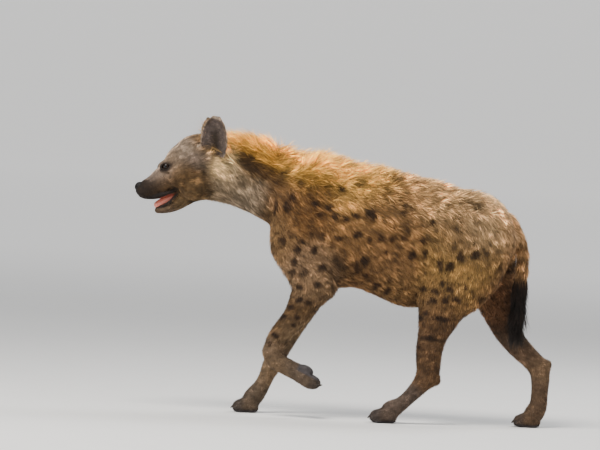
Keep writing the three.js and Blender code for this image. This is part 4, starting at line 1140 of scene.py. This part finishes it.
# %% [markdown]
# ## Skin and hair as materials
#
# Both take their colour from the painted places. Skin between the hairs is dull and grainy, so it has fine
# noise in its colour and a bump of very short hair. Hair is duller than it seems: its shader is rough and
# its highlight weak, and the light and dark of the tufts comes from the paint and from their own shadows.

# %% A material with grain
PAINTED = "coat"  # the name of the painted colours on each mesh


def material(name, roughness, colour=None, grain=400, amount=0.3, bump=0.2, depth=0.0006):
    """A material with noise in its colour, roughness and bump. With no colour it reads the paint."""
    made = bpy.data.materials.new(name)
    made.use_nodes = True
    tree = made.node_tree
    shader = tree.nodes["Principled BSDF"]
    noise = tree.nodes.new("ShaderNodeTexNoise")
    noise.inputs["Scale"].default_value = grain
    noise.inputs["Detail"].default_value = 4
    place = tree.nodes.new("ShaderNodeTexCoord")
    tree.links.new(place.outputs["Object"], noise.inputs["Vector"])
    vary = tree.nodes.new("ShaderNodeMapRange")
    vary.inputs["To Min"].default_value = 1 - amount
    vary.inputs["To Max"].default_value = 1 + amount
    tree.links.new(noise.outputs["Fac"], vary.inputs["Value"])
    mix = tree.nodes.new("ShaderNodeVectorMath")
    mix.operation = "SCALE"
    if colour is None:
        source = tree.nodes.new("ShaderNodeAttribute")
        source.attribute_name = PAINTED
        tree.links.new(source.outputs["Color"], mix.inputs[0])
    else:
        mix.inputs[0].default_value = colour
    tree.links.new(vary.outputs["Result"], mix.inputs["Scale"])
    tree.links.new(mix.outputs["Vector"], shader.inputs["Base Color"])
    rough = tree.nodes.new("ShaderNodeMapRange")
    rough.inputs["To Min"].default_value = roughness - 0.1
    rough.inputs["To Max"].default_value = min(roughness + 0.12, 1)
    tree.links.new(noise.outputs["Fac"], rough.inputs["Value"])
    tree.links.new(rough.outputs["Result"], shader.inputs["Roughness"])
    if bump:
        relief = tree.nodes.new("ShaderNodeBump")
        relief.inputs["Strength"].default_value = bump
        relief.inputs["Distance"].default_value = depth
        tree.links.new(noise.outputs["Fac"], relief.inputs["Height"])
        tree.links.new(relief.outputs["Normal"], shader.inputs["Normal"])
    return made, shader


def paint(piece, colours):
    """Colours on the vertices, for the material to read."""
    layer = piece.data.color_attributes.new(PAINTED, "FLOAT_COLOR", "POINT")
    rgba = np.ones((len(colours), 4), np.float32)
    rgba[:, :3] = colours
    layer.data.foreach_set("color", rgba.ravel())


hair_material, shader = material("hair", 0.6, grain=160, amount=0.22, bump=0)
shader.inputs["Specular IOR Level"].default_value = 0.3
print("made", hair_material.name)

# %% Finish the skin
skin_material, shader = material("short_fur_skin", 0.8, grain=420, amount=0.35, bump=0.5, depth=0.001)
shader.inputs["Specular IOR Level"].default_value = 0.2
mottle = 1 + 0.36 * lattice_noise(knots, 8, 21) + 0.26 * lattice_noise(knots, 4, 22)
SKIN_PAINTED_SHADE = 0.72  # painted shade: the skin lies in the shade between the tufts, so it is darker than their tips
paint(skin, skin_colour * (SKIN_PAINTED_SHADE * mottle)[:, None])
skin.data.materials.append(skin_material)
FLESH = ["torso", "neck", "head", "lower_jaw", "left_ear", "right_ear", "tail", "tail_brush"]
for side in ("left", "right"):
    FLESH += [side + part for part in ("_upper_arm", "_forearm", "_forepaw", "_thigh", "_shank", "_hind_paw")]
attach(skin, "root")
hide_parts(*FLESH)
print("skin stands for", len(FLESH), "solids")

# %% [markdown]
# ## Tufts
#
# Hair could be curves, but curves are not a solid mesh. So each tuft is a thin closed spike, three sided
# and pointed. Its rings are kept at their height above the skin by asking the clay, so that hair lies along
# the body on every curve. Neighbouring tufts bend the same way and are bright or dark together, which gives
# the wavy clumps of real fur.

# %% Read the clay
def clay_value(points):
    """Distance to the skin and its slope, read from the grid."""
    index, part = [], []
    for k, axis in enumerate(clay.axes):
        i = np.clip(np.searchsorted(axis, points[:, k]) - 1, 0, len(axis) - 2)
        index.append(i)
        part.append(np.clip((points[:, k] - axis[i]) / (axis[i + 1] - axis[i]), 0, 1))
    cube = np.zeros((2, 2, 2, len(points)))
    for a in (0, 1):
        for b in (0, 1):
            for c in (0, 1):
                cube[a, b, c] = clay.value[index[0] + a, index[1] + b, index[2] + c]
    u, v, w = part
    step = [clay.axes[k][index[k] + 1] - clay.axes[k][index[k]] for k in range(3)]
    along_x = cube[0] * (1 - u) + cube[1] * u
    along_y = along_x[0] * (1 - v) + along_x[1] * v
    value = along_y[0] * (1 - w) + along_y[1] * w
    change_x = cube[1] - cube[0]
    change_x = change_x[0] * (1 - v) + change_x[1] * v
    slope_x = change_x[0] * (1 - w) + change_x[1] * w
    change_y = along_x[1] - along_x[0]
    slope_y = change_y[0] * (1 - w) + change_y[1] * w
    slope = np.stack([slope_x / step[0], slope_y / step[1], (along_y[1] - along_y[0]) / step[2]], 1)
    return value, slope


print("knots lie within", round(float(np.abs(clay_value(knots)[0]).max()), 1), "mm of the zero surface")

# %% Roots on the skin
def scatter(density, seed):
    """Roots on the skin, by a density in tufts per square millimetre at the knots."""
    rng = np.random.default_rng(SEED + seed)
    wanted = density[squares].mean(1) * square_area
    count = np.floor(wanted + rng.random(len(wanted))).astype(int)
    face = np.repeat(np.arange(len(squares)), count)
    u, v = rng.random(len(face)), rng.random(len(face))
    weights = np.stack([(1 - u) * (1 - v), u * (1 - v), u * v, (1 - u) * v], 1)
    return squares[face], weights, rng


def mix_at(values, corners, weights):
    """Values of the knots, read at roots on the squares."""
    picked = values[corners]
    return (picked * (weights if picked.ndim == 2 else weights[:, :, None])).sum(1)


def unwrapped(points, along=0):
    """The skin's own place on a sheet: along the part, and around it."""
    low, high = points.min(0), points.max(0)
    v = (points[:, along] - low[along]) / (high[along] - low[along])
    middle = (low + high) / 2
    others = [k for k in (1, 2, 0) if k != along][:2]
    around = np.arctan2(points[:, others[0]] - middle[others[0]], points[:, others[1]] - middle[others[1]])
    return np.clip(np.stack([v, around / (2 * math.pi) + 0.5], 1), 0, 1)


print("roots are drawn from seed", SEED)

# %% The shape of a tuft
HUG = 14  # mm, the tallest hair that is held down along the skin
WIDEST = 150  # mm, as far as any hair reaches to the side
SUNK = 1.2  # mm, the depth of a root
FLOOR_GAP = 0.3  # mm, between the lowest hair and the floor


def height_at(tip_height, s):
    """Height over the skin at a share of a tuft's length."""
    return tip_height * math.sin(s * math.pi / 2) - SUNK * (1 - s)


def tuft_spines(root, normal, lie, length, tip_height, stations, curl, rng):
    """The middle line of each tuft from root to tip, bent with its neighbours and held along the skin."""
    side = np.cross(normal, lie)
    lie = unit(lie + side * rng.normal(0, 0.13, (len(root), 1)))
    wave = np.stack([lattice_noise(root, 17, seed) for seed in (11, 12, 13)], 1) * 0.32
    wave -= (wave * normal).sum(1, keepdims=True) * normal
    bend = rng.normal(0, curl, (len(root), 1))
    spine = []
    for s in stations:
        spot = root + lie * length * s * (1 - 0.12 * s) + (wave + side * bend) * length * s * s
        spot = spot + normal * height_at(tip_height, s)
        value, slope = clay_value(spot)
        want = height_at(tip_height[:, 0], s)
        steep = np.sqrt((slope * slope).sum(1))
        push = np.clip((want - value) / np.maximum(steep, 0.3), -12, 12) * (want < HUG)
        spine.append(spot + slope / np.maximum(steep, 1e-3)[:, None] * push[:, None])
    return spine


def tuft_points(spine, normal, width, stations):
    """Three corners round the middle line at each station, then the tip, for every tuft."""
    rings = []
    for k, s in enumerate(stations[:-1]):
        way = unit(spine[k + 1] - spine[k])
        across = unit(np.cross(way, normal))
        up = np.cross(across, way)
        half = (width * (1 - s) ** 0.6 / 2)[:, None]
        for corner in range(3):
            angle = 2 * math.pi * corner / 3 + math.pi / 2
            rings.append(spine[k] + half * (across * math.cos(angle) + up * 0.7 * math.sin(angle)))
    points = np.stack(rings + [spine[-1]], 1)
    points[:, :, 2] = np.maximum(points[:, :, 2], FLOOR_GAP)
    points[:, :, 1] = np.clip(points[:, :, 1], -WIDEST, WIDEST)
    return points


def tuft_faces(rings, number):
    """Triangles of the closed spikes, the same for every tuft."""
    tip = 3 * rings
    faces = [[2, 1, 0]]
    for k in range(rings - 1):
        for c in range(3):
            a, b = 3 * k + c, 3 * k + (c + 1) % 3
            faces += [[a, b, b + 3], [a, b + 3, a + 3]]
    faces += [[tip - 3 + c, tip - 3 + (c + 1) % 3, tip] for c in range(3)]
    return np.array(faces)[None] + (tip + 1) * np.arange(number)[:, None, None]


print("a tuft of 2 rings has", tuft_faces(2, 1).shape[1], "triangles")

# %% The colour of a tuft
CLUMP, CLUMP_SEED = 10, 14  # mm across, and the noise that clumps share in height and in brightness
CONTRAST = {"body_coat": 1.2, "mane_hair": 1.2, "dark_brush_hair": 1.2, "face_fur": 1.5, "leg_fur": 1.15}
ROOT_PAINTED_SHADE, TIP_SHADE = 0.64, 0.46  # brightness at the root, painted shade deep in the coat, and what the tip has more


def tuft_colours(root, spine, along, bright, contrast, rng):
    """The coat's colour on each tuft, lighter and darker by clumps, with pale and dark hairs on the back,
    and painted shade towards the root.
    """
    seen = coat_colour(spine[0] * 0.45 + spine[-1] * 0.55)
    flat = root * [0.6, 1, 1]
    clump = lattice_noise(flat, CLUMP, CLUMP_SEED) + 0.7 * lattice_noise(flat, 5.5, 17)
    tone = bright * rng.lognormal(-0.02, 0.4, len(root)) * np.exp(contrast * clump - 0.08)
    grizzled = smooth_step(-260, -100, root[:, 0]) * smooth_step(560, 680, root[:, 2]) * (root[:, 0] < 330)
    pick = rng.random(len(root))
    tone = tone * np.where(pick < 0.22 * grizzled, 0.45, np.where(pick > 1 - 0.2 * grizzled, 1.5, 1))
    # painted shade: each tuft is darker towards its root, deep in the coat, and paler at its tip
    fade = ROOT_PAINTED_SHADE + TIP_SHADE * along
    return seen[:, None, :] * tone[:, None, None] * fade[None, :, None]


print("the face has the strongest clumps:", CONTRAST)

# %% One piece of the coat
PATCH = 0.003  # how wide each tuft's own patch is on the bake sheet


def tuft_mesh(name, slot, hair, rings, sheet, bright=1.0, curl=0.16):
    """All tufts of one piece of the coat as one mesh. Hair is root, normal, lie, length, rise and width."""
    root, normal, lie, length, rise, width = hair
    n = len(root)
    rng = np.random.default_rng(SEED + n)
    length = (length * rng.uniform(0.7, 1.25, n))[:, None]
    proud = 1 + 0.42 * lattice_noise(root * [0.6, 1, 1], CLUMP, CLUMP_SEED)
    tip_height = (rise * rng.uniform(0.55, 1.16, n) * proud)[:, None]
    stations = np.linspace(0, 1, rings + 1)
    along = np.append(np.repeat(stations[:-1], 3), 1)  # share of the length at each point of a tuft
    spine = tuft_spines(root, normal, lie, length, tip_height, stations, curl, rng)
    points = tuft_points(spine, normal, width, stations)
    faces = tuft_faces(rings, n)
    piece = mesh_object(name, placed(points.reshape(-1, 3)), faces.reshape(-1, 3))
    paint(piece, tuft_colours(root, spine, along, bright, CONTRAST[slot], rng).reshape(-1, 3))
    patch = np.stack([np.append(np.tile([0, 1, 0.5], rings), 0.5), along], 1) * PATCH
    layer = piece.data.uv_layers.new(name="OFBake")
    uv = (sheet[:, None, :] * 0.99 + patch[None]).reshape(-1, 2)
    layer.data.foreach_set("uv", uv[faces.reshape(-1)].astype(np.float32).ravel())
    piece.data.materials.append(hair_material)
    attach(piece, "root")
    print(f"{name:20} {n:6} tufts {len(faces) * faces.shape[1]:7} triangles")


print("each tuft has a patch of", PATCH, "on its sheet")

# %% [markdown]
# ## The coat, piece by piece
#
# The coat is split by region, so that each mesh stays light. Face and feet have small, close tufts. The
# flanks have coarse ones that overlap like thatch. Nothing grows in the open mouth, on the nose leather,
# on the eyes, on the pads or under the soles.

# %% Where hair grows
open_mouth = smooth_step(16, 6, polygon_distance(MOUTH, x, z)) * (np.abs(y) < 24) * (x < -668)
bare = np.maximum(open_mouth, smooth_step(-806, -814, x) * (np.abs(z - 690) < 22))
bare = np.maximum(bare, smooth_step(-0.6, -0.9, skin_normal[:, 2]) * (z < 25))
bare = np.maximum(bare, pad_share(knots))
for side in (LEFT, RIGHT):
    near = np.linalg.norm(knots - eye_axes(side)[0], axis=1)
    bare = np.maximum(bare, (near < EYE["radius"] + 2.5).astype(float))
hairy = 1 - bare
print("hair grows on", round(float(hairy.mean()), 2), "of the knots")

# %% Grow the coat
# Tufts on a square millimetre, rings, width in millimetres, the kind of hair, which sets its contrast,
# and the axis that the part runs along.
COAT = {
    "body": (0.062, 2, 1.5, "body_coat", 0), "leg": (0.15, 1, 1.3, "leg_fur", 2),
    "face": (0.24, 1, 1.1, "face_fur", 0), "tail": (0.12, 2, 1.6, "body_coat", 2),
}
fore = sum(share[n + p] for n in ("left_fore", "right_fore") for p in ("middle", "foot"))
hind = sum(share[n + p] for n in ("left_hind", "right_hind") for p in ("middle", "foot"))
upper = sum(share[n + "upper"] for n in LEGS)
body = share["trunk"] + upper
front, rear = smooth_step(-120, -180, x), 1 - smooth_step(-120, -180, x)
before_rump, rump = 1 - smooth_step(110, 130, x), smooth_step(110, 130, x)
not_top = 1 - 0.5 * on_top * share["trunk"]
pieces = []
for side, half in (("left", smooth_step(3, -3, y)), ("right", smooth_step(-3, 3, y))):
    pieces += [
        ("coat_shoulder_" + side, body * front * half * not_top, "body"),
        ("coat_flank_" + side, body * rear * before_rump * half * not_top, "body"),
        ("coat_rump_" + side, body * rump * half, "body"),
        ("coat_foreleg_" + side, fore * half, "leg"),
        ("coat_hind_leg_" + side, hind * half, "leg"),
        ("coat_face_" + side, (share["head"] + share["ears"]) * half, "face"),
    ]
pieces.append(("coat_tail", share["tail"], "tail"))
fields = (knots, skin_normal, lie, length, rise)
for number, (name, here, kind) in enumerate(pieces):
    per_mm2, rings, width, slot, along = COAT[kind]
    corners, weights, rng = scatter(here * hairy * per_mm2, seed=number)
    root, normal, way, long, tall = [mix_at(field, corners, weights) for field in fields]
    wide = width * rng.uniform(0.8, 1.25, len(corners))
    tuft_mesh(name, slot, (root, unit(normal), unit(way), long, tall, wide), rings, unwrapped(root, along))

# %% [markdown]
# ## Mane and back
#
# The long hair stands up on the crest of the neck and lies back behind the shoulder. It is grown from the
# midline in three bands, each longer towards the middle. Its height comes from the same table as the
# solids, so that the tips end about where the solids end.

# %% Grow the crest
# Name, first and last place along the body, number of tufts, length, whether they lean forward,
# and the kind of hair, which sets its contrast.
CRESTS = [
    ("mane", -596, -380, 6500, 74, True, "mane_hair"),
    ("withers_hair", -420, -150, 5200, 62, False, "mane_hair"),
    ("back_hair", -170, 250, 7500, 48, False, "body_coat"),
]
CREST_RINGS, CREST_CURL, CREST_BRIGHT = 3, 0.2, 1.04


def grow_crest(name, start, end, number, reach, forwards, slot):
    """Long tufts along the top of the neck or back."""
    mask = smooth_step(start - 20, start + 20, x) * smooth_step(end + 20, end - 20, x)
    mask = mask * share["trunk"] * smooth_step(0.35, 0.9, level)
    mask = mask * np.where(np.abs(y) > 26, smooth_step(-584, -562, x), 1)
    area = (mask[squares].mean(1) * square_area).sum()
    corners, weights, rng = scatter(mask * number / area, seed=number)
    root, normal = mix_at(knots, corners, weights), unit(mix_at(skin_normal, corners, weights))
    _, _, _, coat = read_table(TRUNK, root[:, 0])
    high = mix_at(on_top, corners, weights)
    way = np.array([-0.62 if forwards else 0.95, 0, 0.25 if forwards else -0.06])
    sideways = np.array([0, 1, 0]) * rng.normal(0, 0.12, (len(root), 1))
    way = unit(way + normal * (0.5 if forwards else 0.12) + sideways)
    long = reach * (0.55 + 0.45 * high) * rng.uniform(0.8, 1.15, len(root))
    tall = np.maximum(coat * (0.25 + 0.72 * high) * rng.uniform(0.6, 1.0, len(root)), 6)
    flat = unit(way - (way * normal).sum(1, keepdims=True) * normal)
    wide = rng.uniform(1.5, 2.6, len(root))
    hair = (root, normal, flat, long, tall, wide)
    tuft_mesh(name, slot, hair, CREST_RINGS, unwrapped(root), CREST_BRIGHT, CREST_CURL)


for crest in CRESTS:
    grow_crest(*crest)
print(len(CRESTS), "bands of long hair")

# %% [markdown]
# ## The brush of the tail
#
# Long black hair hangs round the lower half of the tail. Roots on the skin would leave the end of the thin
# tail bald, so these tufts start close to the middle line of the tail and hang straight down, flaring a
# little halfway.

# %% Grow the brush
BRUSH_TUFTS, BRUSH_RINGS, BRUSH_CURL = 2600, 3, 0.05
BRUSH_LOWEST = 232  # mm, where the longest hair ends
rng = np.random.default_rng(SEED + 9)
t = rng.uniform(0, len(BRUSH) - 1.01, BRUSH_TUFTS)
rows = np.array(BRUSH, float)
link = t.astype(int)
middle = rows[link] + (rows[link + 1] - rows[link]) * (t - link)[:, None]
turn = rng.uniform(0, 2 * math.pi, BRUSH_TUFTS)
normal = np.stack([np.cos(turn), np.sin(turn), 0 * turn], 1)
root = middle[:, :3] + normal * 3
way = unit(np.stack([0 * t, 0 * t, -np.ones(BRUSH_TUFTS)], 1) + normal * 0.05)
long = np.minimum(rng.uniform(50, 90, BRUSH_TUFTS), root[:, 2] - BRUSH_LOWEST)
flare = 7 * np.sin(np.clip((root[:, 2] - 270) / 230, 0.05, 1) * math.pi) + 1
sheet = np.stack([turn / (2 * math.pi), np.clip((root[:, 2] - 180) / 330, 0, 1)], 1)
hair = (root, normal, way, long, flare + 11, rng.uniform(1.4, 2.4, BRUSH_TUFTS))
tuft_mesh("tail_brush_hair", "dark_brush_hair", hair, BRUSH_RINGS, sheet, curl=BRUSH_CURL)
print("the brush hangs to", round(float((root[:, 2] - long).min())), "mm")

# %% [markdown]
# ## Eyes
#
# An eye is a dark ball with a wet surface, so it has a low roughness and a thin clear coat. The brown iris
# and the dark pupil are painted by the distance from the front of the ball, which is finer than cutting
# rings into it.

# %% Make the eyes
def ball(name, centre, radii, tilt, finish, segments, rings):
    """A smooth egg with its own material."""
    turn = np.linspace(0, 2 * math.pi, segments, endpoint=False)
    polar = np.linspace(0, math.pi, rings + 1)
    grid = np.stack([np.outer(np.sin(polar), np.cos(turn)), np.outer(np.sin(polar), np.sin(turn)),
                     np.outer(np.cos(polar), np.ones(segments))], -1) * radii
    c, s = math.cos(math.radians(tilt)), math.sin(math.radians(tilt))
    gx, gy, gz = grid[..., 0], grid[..., 1], grid[..., 2]
    points = np.stack([gx * c - gz * s, gy, gx * s + gz * c], -1).reshape(-1, 3) + centre
    r, k = np.meshgrid(np.arange(rings), np.arange(segments), indexing="ij")
    beside = (k + 1) % segments
    corners = [r * segments + k, (r + 1) * segments + k, (r + 1) * segments + beside, r * segments + beside]
    piece = mesh_object(name, placed(points), np.stack(corners, -1).reshape(-1, 4))
    piece.data.materials.append(finish)
    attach(piece, "root")
    return piece, points


IRIS_RADIUS, PUPIL_RADIUS = 8, 4.6
EYE_COLOURS = {"rim": (26, 18, 14), "iris": (36, 21, 12), "pupil": (6, 5, 5)}
eye_finish, shader = material("eye", 0.14, grain=900, amount=0.2, bump=0)
shader.inputs["Coat Weight"].default_value = 0.1
shader.inputs["Coat Roughness"].default_value = 0.04
shader.inputs["Specular IOR Level"].default_value = 0.18
for side, name in ((LEFT, "left_eye"), (RIGHT, "right_eye")):
    centre, out, _, _ = eye_axes(side)
    piece, points = ball(name + "_ball", centre, [EYE["radius"]] * 3, 0, eye_finish, 64, 48)
    from_pupil = np.linalg.norm(points - centre - out * EYE["radius"], axis=1)
    colours = np.tile(linear(EYE_COLOURS["rim"]), (len(points), 1))
    colours = painted(colours, smooth_step(IRIS_RADIUS + 1.5, IRIS_RADIUS, from_pupil), EYE_COLOURS["iris"])
    colours = painted(colours, smooth_step(PUPIL_RADIUS + 1, PUPIL_RADIUS, from_pupil), EYE_COLOURS["pupil"])
    paint(piece, colours)
    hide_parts(name)
print("two eyes of", 2 * EYE["radius"], "mm")

# %% [markdown]
# ## Nose leather
#
# The nose is a bare pad with a pebbled bump, two deep nostrils and a cleft below them. A ball with many
# points is pushed in at those places, which keeps the pad one closed surface.

# %% Make the nose
NOSTRIL = {"at": [-829, 9, 687], "radii": [9, 4.4, 3.6], "push": [7, -1.5, 0]}
nose_finish, shader = material("nose_leather", 0.6, linear((22, 18, 17)), grain=700, amount=0.4, bump=0.7)
shader.inputs["Specular IOR Level"].default_value = 0.2
middle = np.array(NOSE["at"])
piece, points = ball("nose_pad", middle, NOSE["radii"], NOSE["pitch"], nose_finish, 72, 52)
for side in (LEFT, RIGHT):
    off = (points - np.array(NOSTRIL["at"]) * [1, side, 1]) / NOSTRIL["radii"]
    deep = smooth_step(1.1, 0.4, np.linalg.norm(off, axis=1))[:, None]
    points = points + deep * np.array(NOSTRIL["push"]) * [1, side, 1]
cleft = smooth_step(2.2, 0, np.abs(points[:, 1])) * smooth_step(690, 680, points[:, 2])
points[:, 0] += 2 * cleft
piece.data.vertices.foreach_set("co", placed(points).astype(np.float32).ravel())
piece.data.update()
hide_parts("nose")
print("nose pad of", len(points), "points")

# %% [markdown]
# ## Tongue
#
# The tongue lies in the trough of the lower jaw, moist and pink, with a groove along it. It is made from
# clay of its own, so that its edges are as round as the skin's. A little subsurface light makes it soft.

# %% Make the tongue
TONGUE = [[-694, 0, 665, 12, 19], [-718, 0, 656, 13, 19], [-740, 0, 644, 13.5, 17], [-758, 0, 634, 11, 14]]
GROOVE = [[-690, 0, 680, 3.2, 1.6], [-756, 0, 656, 2.6, 1.2]]
tongue_finish, shader = material("tongue", 0.35, linear((206, 118, 100)), grain=500, amount=0.25, bump=0.4)
shader.inputs["Subsurface Weight"].default_value = 0.2
tongue_clay = Clay(np.arange(-778, -664, 1.8), np.arange(-27, 27.1, 1.6), np.arange(616, 694, 1.5))
tongue_clay.add(*chain(TONGUE), reach=5)
tongue_clay.carve(*chain(GROOVE, 1), reach=3)
points, faces = net_of(tongue_clay)
points = relaxed(points, faces, rounds=2, keep=0.5)
piece = mesh_object("tongue_soft", placed(points), faces)
piece.data.materials.append(tongue_finish)
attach(piece, "root")
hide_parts("tongue")
print("tongue of", len(faces), "squares")

# %% [markdown]
# ## Claws
#
# The claws are blunt horn that the animal can't draw in. Each is a cone whose middle line curves down and
# whose sides stay full until near the tip. They are solid horn over the skin, one mesh for each paw.

# %% Make the claws
CLAW = {"length": 17, "radius": 5.4, "flatness": 0.75, "droop": 10, "rings": 7, "corners": 10}
CLAW_PAST, CLAW_HIGH = 1, 7  # mm, from the end of the toe's middle line
LOWEST_CLAW = 0.5  # mm above the floor


def claw_points(start, forward, up):
    """Rings round the curved middle line of one claw."""
    points = []
    for s in np.linspace(0, 1, CLAW["rings"]):
        middle = start + forward * CLAW["length"] * s - up * (3 * s + (CLAW["droop"] - 3) * s * s)
        r = CLAW["radius"] * (1 - s) ** 0.55 + 0.25
        for a in 2 * math.pi * np.arange(CLAW["corners"]) / CLAW["corners"]:
            sideways = np.array([0, CLAW["flatness"] * r * math.sin(a), 0])
            points.append(middle + up * r * math.cos(a) + sideways)
    return points


claw_finish, shader = material("claw_horn", 0.35, linear((48, 38, 30)), grain=260, amount=0.35, bump=0.2)
for name, paw in PAWS.items():
    forward, up = paw_ways(paw)
    points, faces = [], []
    for offset, toe_length in zip(TOE_OFFSETS, TOE_LENGTHS):
        first, around = len(points), CLAW["corners"]
        start = np.array(paw["toes"]) + forward * (toe_length + CLAW_PAST) + up * CLAW_HIGH
        points += claw_points(start + [0, offset * 1.05, 0], forward, up)
        for k in range(CLAW["rings"] - 1):
            for corner in range(around):
                a, b = first + around * k + corner, first + around * k + (corner + 1) % around
                faces.append([a, b, b + around, a + around])
    points = np.array(points)
    points[:, 2] = np.maximum(points[:, 2], LOWEST_CLAW)
    piece = mesh_object(name + "_claws", placed(points), np.array(faces))
    piece.data.materials.append(claw_finish)
    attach(piece, "root")
print(len(PAWS) * len(TOE_OFFSETS), "claws")

# %% [markdown]
# ## Floor
#
# The studio is a pale round floor that rises at its far edge, like a dish. A flat floor with a wall behind
# would hide the animal from the other side. The floor glows a little away from the middle, where the soft
# boxes don't reach, so that it is evenly pale in every view.

# %% Make the floor
FLAT_RADIUS, EDGE_RADIUS, EDGE_HIGH, FLOOR_SIDES = 26, 30, 4, 96  # metres, and corners around
FLOOR_RINGS = [0.5, 2.5, 4, 6, 8, 10, 12, 14, 20]
PALE = (0.76, 0.75, 0.73)
rising = np.linspace(0, math.pi / 2, 9)
profile = [(r, 0) for r in FLOOR_RINGS]
profile += [(FLAT_RADIUS + (EDGE_RADIUS - FLAT_RADIUS) * math.sin(a), EDGE_HIGH * (1 - math.cos(a)))
            for a in rising]
turn = np.linspace(0, 2 * math.pi, FLOOR_SIDES, endpoint=False)
points = [(0, 0, 0)] + [(r * math.cos(t), r * math.sin(t), high) for r, high in profile for t in turn]
faces = []
for ring in range(len(profile) - 1):
    for k in range(FLOOR_SIDES):
        a, b = 1 + ring * FLOOR_SIDES + k, 1 + ring * FLOOR_SIDES + (k + 1) % FLOOR_SIDES
        faces.append([a, a + FLOOR_SIDES, b + FLOOR_SIDES, b])
for k in range(0, FLOOR_SIDES, 2):
    faces.append([0, 1 + k, 1 + (k + 1) % FLOOR_SIDES, 1 + (k + 2) % FLOOR_SIDES])
points = np.array(points)
floor = mesh_object("studio_floor", points, np.array(faces))
floor_finish, shader = material("pale_floor", 0.8, PALE, grain=8, amount=0.02, bump=0)
away = np.hypot(points[:, 0], points[:, 1])
paint(floor, 0.5 * smooth_step(2, 13, away)[:, None] * np.array([1, 0.98, 0.95]))
glow = floor_finish.node_tree.nodes.new("ShaderNodeAttribute")
glow.attribute_name = PAINTED
floor_finish.node_tree.links.new(glow.outputs["Color"], shader.inputs["Emission Color"])
shader.inputs["Emission Strength"].default_value = 1
floor.data.materials.append(floor_finish)
print("floor of", len(faces), "faces")

# %% [markdown]
# ## Light
#
# One large soft key light stands to the upper front, with a weaker cool fill from the left and a rim light
# from behind. A small hard lamp would throw sharp edges of dark over the legs, so all three are wide. A
# pale blue world fills the rest.

# %% Set the lights
LIGHTS = [  # name, place, aimed at, size and power, colour
    ("key", (-1.4, -2.6, 4.8), (0, 0, 0.5), 2.2, 420, (1, 0.96, 0.9)),
    ("fill", (-4.0, -3.0, 1.6), (0, 0, 0.5), 3.0, 90, (0.92, 0.96, 1)),
    ("rim", (2.6, 2.2, 3.6), (0, 0, 0.6), 2.0, 150, (1, 1, 1)),
]
for name, place, target, size, power, colour in LIGHTS:
    data = bpy.data.lights.new(name, "AREA")
    data.size, data.energy, data.color = size, power, colour
    lamp = bpy.data.objects.new(name, data)
    bpy.context.scene.collection.objects.link(lamp)
    lamp.location = place
    away = np.array(place) - np.array(target)
    lamp.rotation_euler = (math.atan2(np.hypot(away[0], away[1]), away[2]), 0, math.atan2(away[0], -away[1]))
world = bpy.data.worlds.new("studio")
world.use_nodes = True
world.node_tree.nodes["Background"].inputs["Color"].default_value = (0.9, 0.94, 1, 1)
world.node_tree.nodes["Background"].inputs["Strength"].default_value = 0.45
bpy.context.scene.world = world
print(len(LIGHTS), "soft boxes")

# %% [markdown]
# ## Camera
#
# The camera looks from the animal's left side, slightly above and slightly rolled. It stands far away with
# a long lens, as the photo was taken, because a short lens would swell the near shoulder.

# %% Place the camera
CAMERA_ROLL, CAMERA_DOWN = math.atan(15 / 280), math.radians(2)
CAMERA_AWAY, VIEW_WIDTH = 20, 1.86  # metres
SENSOR_WIDTH = 36  # mm
VIEW_MIDDLE = [-311.2, 0, 593.4 / math.cos(CAMERA_DOWN)]  # the animal's millimetres
right_way = np.array([math.cos(CAMERA_ROLL), math.sin(CAMERA_DOWN) * math.sin(CAMERA_ROLL),
                      math.cos(CAMERA_DOWN) * math.sin(CAMERA_ROLL)])
up_way = np.array([-math.sin(CAMERA_ROLL), math.sin(CAMERA_DOWN) * math.cos(CAMERA_ROLL),
                   math.cos(CAMERA_DOWN) * math.cos(CAMERA_ROLL)])
back_way = np.array([0, -math.cos(CAMERA_DOWN), math.sin(CAMERA_DOWN)])
middle = placed([VIEW_MIDDLE], straight=True)[0]
camera_data = bpy.data.cameras.new("camera")
camera_data.lens = SENSOR_WIDTH * CAMERA_AWAY / VIEW_WIDTH
camera = bpy.data.objects.new("camera", camera_data)
bpy.context.scene.collection.objects.link(camera)
ways = mathutils.Matrix([[right_way[k], up_way[k], back_way[k]] for k in range(3)]).to_4x4()
camera.matrix_world = mathutils.Matrix.Translation(middle + back_way * CAMERA_AWAY) @ ways
bpy.context.scene.camera = camera
print("camera at", [round(v, 2) for v in camera.location], "lens", round(camera_data.lens))
